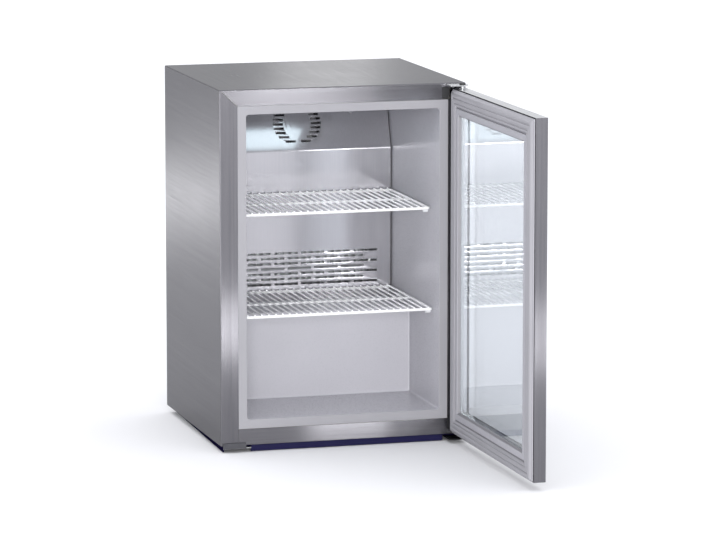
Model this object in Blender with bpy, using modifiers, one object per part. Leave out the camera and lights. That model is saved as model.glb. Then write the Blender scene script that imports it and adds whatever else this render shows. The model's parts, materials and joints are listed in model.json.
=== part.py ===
"""Compact glass-door refrigerator, built piece by piece in metres with +Z up.

The cabinet is modelled with its front bezel on the plane y = 0, its middle on x = 0 and the floor on z = 0.
The door is modelled closed and then swung open on its hinge axis.
"""
import math

import bmesh
import bpy
from mathutils import Matrix, Vector

# Cabinet
CABINET_WIDTH = 0.425
CABINET_DEPTH = 0.385
CABINET_TOP = 0.609
STEEL_SHEET = 0.001
FOLD_RADIUS = 0.002
BEZEL_SIDE = 0.0305
BEZEL_TOP = 0.0275
BEZEL_BOTTOM = 0.0277
MITRE_SLIT = 0.0005
RAIL_RETURN = 0.02
CLEARANCE = 0.0003

# Base
BASE_HEIGHT = 0.012
DECK_THICKNESS = 0.0027
BASE_INSET = 0.004
BASE_SETBACK = 0.006
SKIRT_WALL = 0.003
SKIRT_GROUND_GAP = 0.001
SKIRT_TAPER_INSET = 0.069
PLINTH_LEFT_INSET = 0.0525
PLINTH_RIGHT_INSET = 0.0385
PLINTH_THICKNESS = 0.0035
FOOT_RADIUS = 0.011
FOOT_SIDE_INSET = 0.042
FOOT_FRONT_INSET = 0.05
FOOT_REAR_INSET = 0.045

# Liner
LINER_WALL = 0.002
SIDE_INSULATION = 0.0455
CEILING_INSULATION = 0.042
REAR_INSULATION = 0.045
STEP_INSULATION = 0.045
LEDGE_INSULATION = 0.040
OPENING_BOTTOM = 0.055
LINER_RADIUS = 0.004
FLANGE_THICKNESS = 0.002

# Machine niche at the bottom rear
NICHE_DEPTH = 0.1675
NICHE_TOP = 0.165

# Evaporator cover and what it hides
COVER_STANDOFF = 0.058
COVER_THICKNESS = 0.001
COVER_BEND_DROP = 0.101
COVER_BEND_RADIUS = 0.012
COVER_SIDE_GAP = 0.0025
COVER_LEAN = 18.0
COVER_TOP_GAP = 0.006
SLOT_HEIGHT = 0.004
FAN_SLOT_PITCH = 0.0078
FAN_SLOT_ROWS = 9
FAN_SLOT_LENGTH = 0.018
FAN_RING_RADIUS = 0.034
FAN_CENTRE_DROP = 0.056
GRILLE_BOTTOM = 0.2315
GRILLE_PITCH = 0.009
GRILLE_ROWS = 7
GRILLE_SLOT_LENGTH = 0.042
GRILLE_SLOT_GAP = 0.0055
GRILLE_COLUMNS = 6
FAN_HOUSING_SIDE = 0.088
FAN_HOUSING_DEPTH = 0.018
FAN_BORE_RADIUS = 0.0415
FAN_BORE_STEPS = 24
FAN_BLADE_RADIUS = 0.0395
FAN_HUB_RADIUS = 0.016
FAN_HUB_LENGTH = 0.007
FAN_BLADES = 7
FAN_BLADE_CHORD = 0.013
FAN_BLADE_THICKNESS = 0.0012
FAN_BLADE_PITCH = 24.0
FAN_SPOKE_WIDTH = 0.005
FAN_SPOKE_THICKNESS = 0.003
FAN_SHAFT_RADIUS = 0.002
FAN_RUNNING_GAP = 0.0006
MOTOR_LENGTH = 0.005
EVAPORATOR_SIDE_GAP = 0.032
EVAPORATOR_LIFT = 0.020
EVAPORATOR_DROP = 0.137
EVAPORATOR_FINS = 22
FIN_THICKNESS = 0.001
FIN_DEPTH = 0.030
FIN_PLATE = 0.002
EVAPORATOR_TUBE_RADIUS = 0.004
EVAPORATOR_TUBE_MARGIN = 0.0305
EVAPORATOR_TUBE_PASSES = 5

# Control box on the ceiling
CONTROL_WIDTH = 0.180
CONTROL_LENGTH = 0.100
CONTROL_REAR_GAP = 0.067
CONTROL_DEPTH = 0.012
CONTROL_EDGE = 0.004
DIFFUSER_INSET = 0.012
DIFFUSER_LENGTH = 0.115
DIFFUSER_WIDTH = 0.066
DIFFUSER_DROP = 0.004
DIFFUSER_EDGE = 0.0015
KNOB_SIDE_INSET = 0.028
KNOB_REAR_INSET = 0.030
KNOB_RADIUS = 0.014
KNOB_DROP = 0.010
KNOB_RIDGE = 0.003
SWITCH_SIDE_INSET = 0.028
SWITCH_FRONT_INSET = 0.025
SWITCH_LENGTH = 0.020
SWITCH_WIDTH = 0.010
SWITCH_HEIGHT = 0.003
SWITCH_TILT = 7.0

# Shelves
SHELF_SIDE_GAP = 0.0015
SHELF_BACK_GAP = 0.0035
UPPER_SHELF_TOP = 0.3965
UPPER_SHELF_FRONT = 0.046
LOWER_SHELF_TOP = 0.2265
LOWER_SHELF_FRONT = 0.030
RIM_RADIUS = 0.0025
RIM_CORNER = 0.004
GRID_RADIUS = 0.0015
GRID_MARGIN = 0.0082
GRID_WIRES = 27
WELD_DEPTH = 0.0009
CROSS_RODS = 1
PEG_RADIUS = 0.0035
PEG_LENGTH = 0.0085
PEG_FRONT_OFFSET = 0.022
PEG_REAR_OFFSET = 0.057

# Door, in its closed place
DOOR_BOTTOM = 0.014
DOOR_TOP_GAP = 0.008
DOOR_THICKNESS = 0.0205
DOOR_FACE_GAP = 0.008
DOOR_STILE = 0.040
DOOR_REBATE = 0.0085
DOOR_LIP = 0.0015
DOOR_SHEET = 0.0012
DOOR_OPEN = 90.5
PANE = 0.003
SPACER_WIDTH = 0.006
GASKET_INSET = 0.003
GASKET_WIDTH = 0.025
GASKET_SLOPE = 0.005
GASKET_GAP = 0.0005
GASKET_RIB_DEPTH = 0.0015
INNER_FRAME_INSET = 0.002
INNER_FRAME_PLATE = 0.002
INNER_FRAME_OVERHANG = 0.001
GROOVE = 0.0025
LIP_SETBACK = 0.002
GRIP_HEIGHT = 0.100
GRIP_WIDTH = 0.020
GRIP_DEPTH = 0.012
GRIP_INSET = 0.009
GRIP_WALL = 0.0012
GRIP_RAISE = 0.0225

# Hinges
HINGE_EDGE = 0.012
HINGE_FACE = 0.009
PIN_RADIUS = 0.003
PIN_LENGTH = 0.016
PIN_CLEARANCE = 0.0003
BUSH_WALL = 0.0027
COLLAR_RADIUS = 0.006
ARM_THICKNESS = 0.0022
ARM_LEFT_INSET = 0.0345
ARM_SIDE_INSET = 0.002
ARM_NOSE = 0.008
ARM_TAIL = 0.045
ARM_TOP_GAP = 0.0015
ARM_FRONT_INSET = 0.001
FOOT_ARM_TAIL = 0.03
HINGE_BLOCK_INSET = 0.029
HINGE_BLOCK_WIDTH = 0.012
HINGE_BLOCK_DROP = 0.007
HINGE_BLOCK_HEIGHT = 0.019
HINGE_BLOCK_DEPTH = 0.010
STOP_INSET = 0.0035
STOP_WIDTH = 0.0395
STOP_LEDGE_OVERHANG = 0.0085
STOP_RISE = 0.0045
STOP_THICKNESS = 0.0025

# Machine parts
COMPRESSOR_INSET = 0.1575
COMPRESSOR_RADIUS = 0.064
COMPRESSOR_NARROW_RADIUS = 0.055
COMPRESSOR_HEIGHT = 0.118
COMPRESSOR_DOME = 0.030
COMPRESSOR_SEAM = 0.004
COMPRESSOR_SEAM_HEIGHT = 0.065
COMPRESSOR_LEG_LENGTH = 0.170
COMPRESSOR_LEG_WIDTH = 0.090
COMPRESSOR_LEG_THICKNESS = 0.003
GROMMET_RADIUS = 0.010
GROMMET_HEIGHT = 0.010
GROMMET_INSET = 0.012
STARTER_LENGTH = 0.030
STARTER_WIDTH = 0.046
STARTER_HEIGHT = 0.052
STARTER_BOTTOM = 0.045
DRAIN_PAN_LENGTH = 0.110
DRAIN_PAN_WIDTH = 0.090
DRAIN_PAN_HEIGHT = 0.012
DRAIN_PAN_WALL = 0.0015
CONDENSER_SIDE_INSET = 0.0425
CONDENSER_LIFT = 0.020
CONDENSER_DROP = 0.034
CONDENSER_STANDOFF = 0.0318
CONDENSER_TUBE_RADIUS = 0.0025
CONDENSER_PASSES = 11
CONDENSER_END_MARGIN = 0.0125
CONDENSER_TUBE_MARGIN = 0.025
CONDENSER_ROD_RADIUS = 0.002
CONDENSER_ROD_INSET = 0.006
HANGER_DROP = 0.012
CONDENSER_WIRE_RADIUS = 0.0009
CONDENSER_WIRES = 24
CONDENSER_WIRE_MARGIN = 0.0113
PIPE_RADIUS = 0.0025
PIPE_BEND = 0.014
PIPE_LIFT = 0.008
RISER_REACH = 0.015
LIQUID_HEIGHT = 0.060
DRIER_SIDE_INSET = 0.0875
DRIER_REAR_INSET = 0.013
DRIER_BOTTOM = 0.080
DRIER_RADIUS = 0.009
DRIER_LENGTH = 0.080
SUCTION_INSET = 0.0475
INLET_INSET = 0.0475
INLET_WIDTH = 0.048
INLET_HEIGHT = 0.032
INLET_DEPTH = 0.030
INLET_REAR_INSET = 0.010
INLET_SOCKET_WIDTH = 0.026
INLET_SOCKET_HEIGHT = 0.017
INLET_SOCKET_DEPTH = 0.014

# Places that follow from the sizes above
HALF = CABINET_WIDTH / 2
INNER_HALF = HALF - STEEL_SHEET
INNER_TOP = CABINET_TOP - STEEL_SHEET
BEZEL_HALF = HALF - BEZEL_SIDE
BEZEL_INNER_TOP = CABINET_TOP - BEZEL_TOP
BEZEL_INNER_BOTTOM = BASE_HEIGHT + BEZEL_BOTTOM
OPENING_WIDTH = CABINET_WIDTH - 2 * SIDE_INSULATION
OPENING_HALF = OPENING_WIDTH / 2
OPENING_TOP = CABINET_TOP - CEILING_INSULATION
INTERIOR_DEPTH = CABINET_DEPTH - REAR_INSULATION
NICHE_FRONT = CABINET_DEPTH - NICHE_DEPTH
STEP_FRONT = NICHE_FRONT - STEP_INSULATION
STEP_TOP = NICHE_TOP + LEDGE_INSULATION
PLINTH_LEFT = -HALF + PLINTH_LEFT_INSET
PLINTH_RIGHT = HALF - PLINTH_RIGHT_INSET
COVER_FRONT = INTERIOR_DEPTH - COVER_STANDOFF
COVER_BEND_HEIGHT = OPENING_TOP - COVER_BEND_DROP
FAN_CENTRE_HEIGHT = OPENING_TOP - FAN_CENTRE_DROP
EVAPORATOR_WIDTH = OPENING_WIDTH - 2 * EVAPORATOR_SIDE_GAP
EVAPORATOR_BOTTOM = STEP_TOP + EVAPORATOR_LIFT
EVAPORATOR_TOP = OPENING_TOP - EVAPORATOR_DROP
CONTROL_LEFT = -CONTROL_WIDTH / 2
CONTROL_RIGHT = CONTROL_WIDTH / 2
CONTROL_REAR = COVER_FRONT - CONTROL_REAR_GAP
CONTROL_FRONT = CONTROL_REAR - CONTROL_LENGTH
DIFFUSER_LEFT = CONTROL_LEFT + DIFFUSER_INSET
KNOB_X = CONTROL_RIGHT - KNOB_SIDE_INSET
KNOB_Y = CONTROL_REAR - KNOB_REAR_INSET
SWITCH_X = CONTROL_RIGHT - SWITCH_SIDE_INSET
SWITCH_Y = CONTROL_FRONT + SWITCH_FRONT_INSET
SHELF_WIDTH = OPENING_WIDTH - 2 * SHELF_SIDE_GAP
PEG_REAR = COVER_FRONT - PEG_REAR_OFFSET
DECK_TOP = BASE_HEIGHT - CLEARANCE
DECK_BOTTOM = DECK_TOP - DECK_THICKNESS
UNDER_DECK = DECK_BOTTOM - CLEARANCE
PANEL_FRONT = CABINET_DEPTH - STEEL_SHEET
FOAM_FRONT = FLANGE_THICKNESS + CLEARANCE
DOOR_INNER = -DOOR_FACE_GAP
DOOR_OUTER = DOOR_INNER - DOOR_THICKNESS
DOOR_TOP = CABINET_TOP - DOOR_TOP_GAP
GRIP_MIDDLE = (DOOR_BOTTOM + DOOR_TOP) / 2 + GRIP_RAISE
HINGE_X = HALF - HINGE_EDGE
HINGE_Y = DOOR_OUTER + HINGE_FACE
BUSH_RADIUS = PIN_RADIUS + PIN_CLEARANCE + BUSH_WALL
LEAN = math.radians(COVER_LEAN)
LIP_BACK = DOOR_OUTER + DOOR_LIP
ARM_TOP = CABINET_TOP - ARM_TOP_GAP
ARM_BOTTOM = ARM_TOP - ARM_THICKNESS
ARM_LEFT = HALF - ARM_LEFT_INSET
ARM_RIGHT = HALF - ARM_SIDE_INSET
ARM_FRONT = DOOR_OUTER + ARM_FRONT_INSET
HINGE_BLOCK_RIGHT = HALF - HINGE_BLOCK_INSET
HINGE_BLOCK_LEFT = HINGE_BLOCK_RIGHT - HINGE_BLOCK_WIDTH
HINGE_BLOCK_TOP = CABINET_TOP - HINGE_BLOCK_DROP
HINGE_BLOCK_BOTTOM = HINGE_BLOCK_TOP - HINGE_BLOCK_HEIGHT
STOP_LEFT = -HALF + STOP_INSET
STOP_RIGHT = STOP_LEFT + STOP_WIDTH
STOP_LEDGE_RIGHT = STOP_RIGHT + STOP_LEDGE_OVERHANG
STOP_TOP = BASE_HEIGHT + STOP_RISE
COMPRESSOR_X = -HALF + COMPRESSOR_INSET
MACHINE_Y = (NICHE_FRONT + CABINET_DEPTH) / 2
PIPE_HEIGHT = STARTER_BOTTOM + STARTER_HEIGHT + PIPE_LIFT
CONDENSER_WIDTH = CABINET_WIDTH - 2 * CONDENSER_SIDE_INSET
CONDENSER_BOTTOM = NICHE_TOP + CONDENSER_LIFT
CONDENSER_TOP = CABINET_TOP - CONDENSER_DROP
DRIER_X = HALF - DRIER_SIDE_INSET
DRIER_Y = CABINET_DEPTH - DRIER_REAR_INSET
SUCTION_X = -HALF + SUCTION_INSET
INLET_X = HALF - INLET_INSET

# Finishes: colour, roughness, metallic
STAINLESS = ((0.48, 0.48, 0.50), 0.32, 1.0)
GALVANISED = ((0.55, 0.56, 0.57), 0.45, 1.0)
FOAM = ((0.85, 0.78, 0.55), 0.9, 0.0)
LINER_GREY = ((0.66, 0.66, 0.68), 0.4, 0.0)
BLACK_PLASTIC = ((0.02, 0.02, 0.022), 0.5, 0.0)
NAVY_PLASTIC = ((0.03, 0.025, 0.12), 0.45, 0.0)
BRIGHT_STEEL = ((0.7, 0.7, 0.7), 0.25, 1.0)
DARK_STEEL = ((0.09, 0.09, 0.1), 0.45, 0.6)
RUBBER = ((0.03, 0.03, 0.03), 0.8, 0.0)
MIRROR_ALUMINIUM = ((0.72, 0.74, 0.77), 0.18, 1.0)
ALUMINIUM = ((0.7, 0.71, 0.72), 0.4, 1.0)
WHITE_PLASTIC = ((0.82, 0.82, 0.82), 0.4, 0.0)
WHITE_COATING = ((0.86, 0.86, 0.87), 0.35, 0.0)
BLACK_ENAMEL = ((0.015, 0.015, 0.016), 0.35, 0.0)
COPPER = ((0.72, 0.38, 0.24), 0.35, 1.0)
CLEAR_GLASS = ((0.85, 0.92, 0.92), 0.03, 0.0)
DOOR_GREY = ((0.58, 0.58, 0.60), 0.45, 0.0)
GASKET_GREY = ((0.62, 0.62, 0.63), 0.6, 0.0)

for leftover in list(bpy.data.objects):
    bpy.data.objects.remove(leftover)

parts = bpy.data.collections.new("refrigerator")
cutters = bpy.data.collections.new("cutters")
bpy.context.scene.collection.children.link(parts)
bpy.context.scene.collection.children.link(cutters)


# Holders: empties that carry the pieces of one moving body

def holder(name, place=(0.0, 0.0, 0.0), parent=None):
    """An empty on a joint's axis, or the one that carries the whole refrigerator."""
    empty = bpy.data.objects.new(name, None)
    parts.objects.link(empty)
    empty.location = place
    empty.parent = parent
    return empty


def hold(obj, carrier):
    """Parent a piece to its holder without moving it from its closed place."""
    obj.parent = carrier
    obj.matrix_parent_inverse = Matrix.Translation(carrier.location).inverted()


def give_finish(obj, finish):
    colour, roughness, metallic = finish
    skin = bpy.data.materials.new(obj.name)
    skin.use_nodes = True
    shader = skin.node_tree.nodes["Principled BSDF"]
    shader.inputs["Base Color"].default_value = (*colour, 1.0)
    shader.inputs["Roughness"].default_value = roughness
    shader.inputs["Metallic"].default_value = metallic
    shader.inputs["Transmission Weight"].default_value = 1.0 if finish is CLEAR_GLASS else 0.0
    obj.data.materials.append(skin)


# Meshes

def mesh_from(work, name):
    mesh = bpy.data.meshes.new(name)
    bmesh.ops.recalc_face_normals(work, faces=work.faces)
    work.to_mesh(mesh)
    work.free()
    return mesh


def part(name, data, finish, carrier, matrix=Matrix.Identity(4)):
    """A named piece of the refrigerator, made of a mesh or a curve."""
    obj = bpy.data.objects.new(name, data)
    parts.objects.link(obj)
    obj.matrix_basis = matrix
    hold(obj, carrier)
    give_finish(obj, finish)
    return obj


def cutter(name, data, carrier, matrix=Matrix.Identity(4)):
    """A shape that only cuts or joins, hidden from the render."""
    obj = bpy.data.objects.new(name, data)
    cutters.objects.link(obj)
    obj.matrix_basis = matrix
    hold(obj, carrier)
    obj.hide_render = True
    obj.display_type = "WIRE"
    return obj


def cut(obj, other, operation="DIFFERENCE"):
    step = obj.modifiers.new(other.name, "BOOLEAN")
    step.object = other
    step.operation = operation
    step.solver = "EXACT"


def fuse(obj, other):
    cut(obj, other, "UNION")


def round_edges(obj, width, segments=2, angle=30.0):
    step = obj.modifiers.new("edges", "BEVEL")
    step.width = width
    step.segments = segments
    step.limit_method = "ANGLE"
    step.angle_limit = math.radians(angle)


def blocks(boxes, name, turn=Matrix.Identity(4)):
    """One mesh holding a box for each pair of low and high corners."""
    work = bmesh.new()
    for low, high in boxes:
        low, high = Vector(low), Vector(high)
        size = high - low
        place = Matrix.Translation((low + high) / 2) @ Matrix.Diagonal((*size, 1.0))
        bmesh.ops.create_cube(work, size=1.0, matrix=turn @ place)
    return mesh_from(work, name)


def block(low, high, name):
    return blocks([(low, high)], name)


def cylinder(radius, height, sides, name):
    """A cylinder standing on the origin."""
    work = bmesh.new()
    lift = Matrix.Translation((0.0, 0.0, height / 2))
    bmesh.ops.create_cone(work, cap_ends=True, segments=sides, radius1=radius, radius2=radius,
                          depth=height, matrix=lift)
    return mesh_from(work, name)


def standing(mesh, sharp=40.0):
    """Shade a round mesh smooth, with its rims kept sharp."""
    mesh.shade_smooth()
    mesh.set_sharp_from_angle(angle=math.radians(sharp))
    return mesh


def read_curve(curve, name):
    """The mesh of a curve, with its loose caps welded."""
    guide = bpy.data.objects.new(name, curve)
    bpy.context.scene.collection.objects.link(guide)
    graph = bpy.context.evaluated_depsgraph_get()
    mesh = bpy.data.meshes.new_from_object(guide.evaluated_get(graph))
    bpy.data.objects.remove(guide)
    bpy.data.curves.remove(curve)
    work = bmesh.new()
    work.from_mesh(mesh)
    bpy.data.meshes.remove(mesh)
    bmesh.ops.remove_doubles(work, verts=work.verts, dist=0.000001)
    return mesh_from(work, name)


def outline(loops, thickness, name):
    """A flat plate in the XY plane from an outer loop and any holes, centred on its thickness."""
    curve = bpy.data.curves.new(name, "CURVE")
    curve.dimensions = "2D"
    curve.fill_mode = "BOTH"
    curve.extrude = thickness / 2
    for points in loops:
        spline = curve.splines.new("POLY")
        spline.points.add(len(points) - 1)
        for knot, point in zip(spline.points, points):
            knot.co = (point[0], point[1], 0.0, 1.0)
        spline.use_cyclic_u = True
    return read_curve(curve, name)


def across(middle=0.0):
    """Turns a plate drawn in (Y, Z) so that its thickness runs along X."""
    turn = Matrix(((0, 0, 1, 0), (1, 0, 0, 0), (0, 1, 0, 0), (0, 0, 0, 1)))
    return Matrix.Translation((middle, 0.0, 0.0)) @ turn


def rounded(points, radius, steps):
    """The points of a path, with each inner corner replaced by an arc."""
    points = [Vector(point) for point in points]
    path = [points[0]]
    for before, corner, after in zip(points, points[1:], points[2:]):
        back = (before - corner).normalized()
        ahead = (after - corner).normalized()
        half = back.angle(ahead) / 2
        centre = corner + (back + ahead).normalized() * radius / math.sin(half)
        start = corner + back * radius / math.tan(half) - centre
        end = corner + ahead * radius / math.tan(half) - centre
        sweep = math.pi - 2 * half
        for step in range(steps + 1):
            share = step / steps
            first = math.sin((1 - share) * sweep) / math.sin(sweep)
            second = math.sin(share * sweep) / math.sin(sweep)
            path.append(centre + start * first + end * second)
    path.append(points[-1])
    return [path[0]] + [b for a, b in zip(path, path[1:]) if (b - a).length > 0.00005]


def sheet_outline(path, thickness):
    """The closed outline of a bent sheet whose face follows a path and whose back lies to its right."""
    back = []
    for index, point in enumerate(path):
        before = path[max(index - 1, 0)]
        after = path[min(index + 1, len(path) - 1)]
        first = (point - before).normalized() if index else (after - point).normalized()
        second = (after - point).normalized() if index < len(path) - 1 else first
        normal = (Vector((first.y, -first.x)) + Vector((second.y, -second.x))).normalized()
        back.append(point + normal * thickness / normal.dot(Vector((second.y, -second.x))))
    return list(path) + back[::-1]


def wires(paths, radius, resolution, name, cyclic=False):
    """A curve of round wires, one for each path."""
    curve = bpy.data.curves.new(name, "CURVE")
    curve.dimensions = "3D"
    curve.bevel_depth = radius
    curve.bevel_resolution = resolution
    curve.use_fill_caps = True
    for points in paths:
        spline = curve.splines.new("POLY")
        spline.points.add(len(points) - 1)
        for knot, point in zip(spline.points, points):
            knot.co = (*point, 1.0)
        spline.use_cyclic_u = cyclic
    return curve


def frame(left, right, bottom, top, profile, name):
    """A mitred frame: each (inset, depth) of its section is a rectangle, joined to the next by faces."""
    work = bmesh.new()
    rings = []
    for inset, depth in profile:
        rings.append([work.verts.new((x, depth, z)) for x, z in (
            (left + inset, bottom + inset), (right - inset, bottom + inset),
            (right - inset, top - inset), (left + inset, top - inset))])
    for first, second in zip(rings, rings[1:] + rings[:1]):
        for side in range(4):
            after = (side + 1) % 4
            work.faces.new((first[side], first[after], second[after], second[side]))
    return mesh_from(work, name)


def turned(profile, steps, name, finish, carrier, matrix):
    """A piece turned about Z from a profile that runs down its outer side."""
    work = bmesh.new()
    points = [work.verts.new((radius, 0.0, height)) for radius, height in profile]
    for first, second in zip(points, points[1:]):
        work.edges.new((first, second))
    mesh = bpy.data.meshes.new(name)
    work.to_mesh(mesh)
    work.free()
    obj = part(name, mesh, finish, carrier, matrix)
    lathe = obj.modifiers.new("turn", "SCREW")
    lathe.steps = steps
    lathe.render_steps = steps
    lathe.use_merge_vertices = True
    lathe.merge_threshold = 0.0001
    return obj


# Cabinet shell

def build_wrapper():
    """The folded stainless wrap: sides, top and the front bezel strips, mitred at the top corners."""
    past = STEEL_SHEET * 5
    far = past * 2
    body = block((-HALF, 0.0, BASE_HEIGHT - past), (HALF, CABINET_DEPTH + past, CABINET_TOP), "outer_wrapper")
    shell = part("outer_wrapper", body, STAINLESS, cabinet)
    round_edges(shell, FOLD_RADIUS)
    inside = block((-INNER_HALF, STEEL_SHEET, BASE_HEIGHT - far),
                   (INNER_HALF, CABINET_DEPTH + far, INNER_TOP), "wrap_inside")
    cut(shell, cutter("wrap_inside", inside, cabinet))
    mouth = block((-BEZEL_HALF, -past, BASE_HEIGHT - far),
                  (BEZEL_HALF, past, BEZEL_INNER_TOP), "wrap_mouth")
    cut(shell, cutter("wrap_mouth", mouth, cabinet))
    below = block((-HALF - far, -far, BASE_HEIGHT - far),
                  (HALF + far, CABINET_DEPTH + far, BASE_HEIGHT), "wrap_below")
    cut(shell, cutter("wrap_below", below, cabinet))
    behind = block((-HALF - far, CABINET_DEPTH, 0.0),
                   (HALF + far, CABINET_DEPTH + far, CABINET_TOP + far), "wrap_behind")
    cut(shell, cutter("wrap_behind", behind, cabinet))
    slant = math.atan2(BEZEL_TOP, BEZEL_SIDE)
    reach = math.hypot(BEZEL_TOP, BEZEL_SIDE) / 2
    for name, side in (("left", -1), ("right", 1)):
        middle = (side * (HALF - BEZEL_SIDE / 2), 0.0, CABINET_TOP - BEZEL_TOP / 2)
        turn = Matrix.Translation(middle) @ Matrix.Rotation(-side * slant, 4, "Y")
        slit = block((-reach - side * past, -past, -MITRE_SLIT / 2),
                     (reach - side * past, past / 2, MITRE_SLIT / 2), "mitre_slit")
        cut(shell, cutter(f"mitre_slit_{name}", slit, cabinet, turn))
    slot = block((ARM_LEFT - CLEARANCE, -past, ARM_BOTTOM - CLEARANCE),
                 (ARM_RIGHT + CLEARANCE, past, ARM_TOP + CLEARANCE), "hinge_slot")
    cut(shell, cutter("hinge_slot", slot, cabinet))
    window = block((HINGE_BLOCK_LEFT - CLEARANCE, -past, HINGE_BLOCK_BOTTOM - CLEARANCE),
                   (HINGE_BLOCK_RIGHT + CLEARANCE, past, HINGE_BLOCK_TOP + CLEARANCE), "hinge_window")
    cut(shell, cutter("hinge_window", window, cabinet))


def build_bottom_rail():
    """The bottom bezel strip, a folded angle between the two sides of the wrap."""
    low = BASE_HEIGHT + CLEARANCE
    high = BEZEL_INNER_BOTTOM - CLEARANCE
    path = [Vector((RAIL_RETURN, low)), Vector((0.0, low)), Vector((0.0, high))]
    face = sheet_outline(path, STEEL_SHEET)
    mesh = outline([face], 2 * (BEZEL_HALF - CLEARANCE), "front_bottom_rail")
    part("front_bottom_rail", mesh, STAINLESS, cabinet, across())


def liner_void(grow, front, name):
    """The tub's inner space, grown by a wall, with the step over the machine niche."""
    low = OPENING_BOTTOM - grow
    high = OPENING_TOP + grow
    profile = [(front, low), (STEP_FRONT + grow, low), (STEP_FRONT + grow, STEP_TOP - grow),
               (INTERIOR_DEPTH + grow, STEP_TOP - grow), (INTERIOR_DEPTH + grow, high), (front, high)]
    return outline([profile], OPENING_WIDTH + 2 * grow, name)


def build_liner():
    """The moulded tub with its front flange, trimmed level with the bezel."""
    past = LINER_RADIUS * 2
    tub = part("inner_liner", liner_void(LINER_WALL, -past, "inner_liner"), LINER_GREY, cabinet, across())
    round_edges(tub, LINER_RADIUS + LINER_WALL)
    flange = block((-BEZEL_HALF + CLEARANCE, -LINER_WALL, BEZEL_INNER_BOTTOM),
                   (BEZEL_HALF - CLEARANCE, FLANGE_THICKNESS, BEZEL_INNER_TOP - CLEARANCE), "liner_flange")
    fuse(tub, cutter("liner_flange", flange, cabinet))
    space = cutter("liner_space", liner_void(0.0, -past * 2, "liner_space"), cabinet, across())
    round_edges(space, LINER_RADIUS)
    cut(tub, space)
    trim = block((-HALF, -past * 3, 0.0), (HALF, 0.0, CABINET_TOP), "liner_trim")
    cut(tub, cutter("liner_trim", trim, cabinet))


def build_foam():
    """Foamed insulation between the wrap and the tub, cut away for the machine niche and the hinge."""
    mesh = block((-INNER_HALF + CLEARANCE, FOAM_FRONT, BASE_HEIGHT + STEEL_SHEET + 2 * CLEARANCE),
                 (INNER_HALF - CLEARANCE, PANEL_FRONT - CLEARANCE, INNER_TOP - CLEARANCE), "insulation_foam")
    foam = part("insulation_foam", mesh, FOAM, cabinet)
    past = LINER_RADIUS
    tub = cutter("foam_tub", liner_void(LINER_WALL + CLEARANCE, -past * 2, "foam_tub"), cabinet, across())
    round_edges(tub, LINER_RADIUS + LINER_WALL)
    cut(foam, tub)
    niche = block((-HALF, NICHE_FRONT - CLEARANCE, -past),
                  (HALF, CABINET_DEPTH + past, NICHE_TOP + CLEARANCE), "foam_niche")
    cut(foam, cutter("foam_niche", niche, cabinet))
    pockets = blocks([
        ((ARM_LEFT - CLEARANCE, -past, ARM_BOTTOM - CLEARANCE), (HALF, ARM_TAIL + CLEARANCE, CABINET_TOP)),
        ((HINGE_BLOCK_LEFT - CLEARANCE, -past, HINGE_BLOCK_BOTTOM - CLEARANCE),
         (HINGE_BLOCK_RIGHT + CLEARANCE, HINGE_BLOCK_DEPTH + CLEARANCE, HINGE_BLOCK_TOP + CLEARANCE)),
    ], "foam_pockets")
    cut(foam, cutter("foam_pockets", pockets, cabinet))


def build_rear():
    """The flat rear panel and the bent sheet that lines the machine niche."""
    panel = block((-INNER_HALF + CLEARANCE, PANEL_FRONT, NICHE_TOP),
                  (INNER_HALF - CLEARANCE, CABINET_DEPTH, INNER_TOP - CLEARANCE), "rear_panel")
    part("rear_panel", panel, GALVANISED, cabinet)
    path = [Vector((NICHE_FRONT, BASE_HEIGHT)), Vector((NICHE_FRONT, NICHE_TOP)),
            Vector((PANEL_FRONT - CLEARANCE, NICHE_TOP))]
    mesh = outline([sheet_outline(path, STEEL_SHEET)], 2 * (INNER_HALF - CLEARANCE), "niche_liner")
    part("niche_liner", mesh, GALVANISED, cabinet, across())


# Base

def build_base():
    """The base pan, an upturned tray whose skirt tapers to the rear, with its plinth strip and feet."""
    rear = CABINET_DEPTH - BASE_INSET
    half = HALF - BASE_INSET
    side = [(BASE_SETBACK, DECK_TOP), (BASE_SETBACK, SKIRT_GROUND_GAP),
            (CABINET_DEPTH - SKIRT_TAPER_INSET, UNDER_DECK), (rear, UNDER_DECK), (rear, DECK_TOP)]
    pan = part("base_pan", outline([side], 2 * half, "base_pan"), BLACK_PLASTIC, cabinet, across())
    hollow = block((-half + SKIRT_WALL, -BASE_SETBACK, -DECK_BOTTOM),
                   (half - SKIRT_WALL, rear + SKIRT_WALL, DECK_BOTTOM), "pan_hollow")
    cut(pan, cutter("pan_hollow", hollow, cabinet))
    back = BASE_SETBACK - CLEARANCE
    strip = block((PLINTH_LEFT, back - PLINTH_THICKNESS, SKIRT_GROUND_GAP),
                  (PLINTH_RIGHT, back, DECK_TOP), "plinth_strip")
    part("plinth_strip", strip, NAVY_PLASTIC, cabinet)
    for row, y in (("front", FOOT_FRONT_INSET), ("rear", CABINET_DEPTH - FOOT_REAR_INSET)):
        for name, x in (("left", -HALF + FOOT_SIDE_INSET), ("right", HALF - FOOT_SIDE_INSET)):
            mesh = standing(cylinder(FOOT_RADIUS, UNDER_DECK, 16, "foot"))
            part(f"foot_{row}_{name}", mesh, RUBBER, cabinet, Matrix.Translation((x, y, 0.0)))


# Hinges and the corner stop

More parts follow.
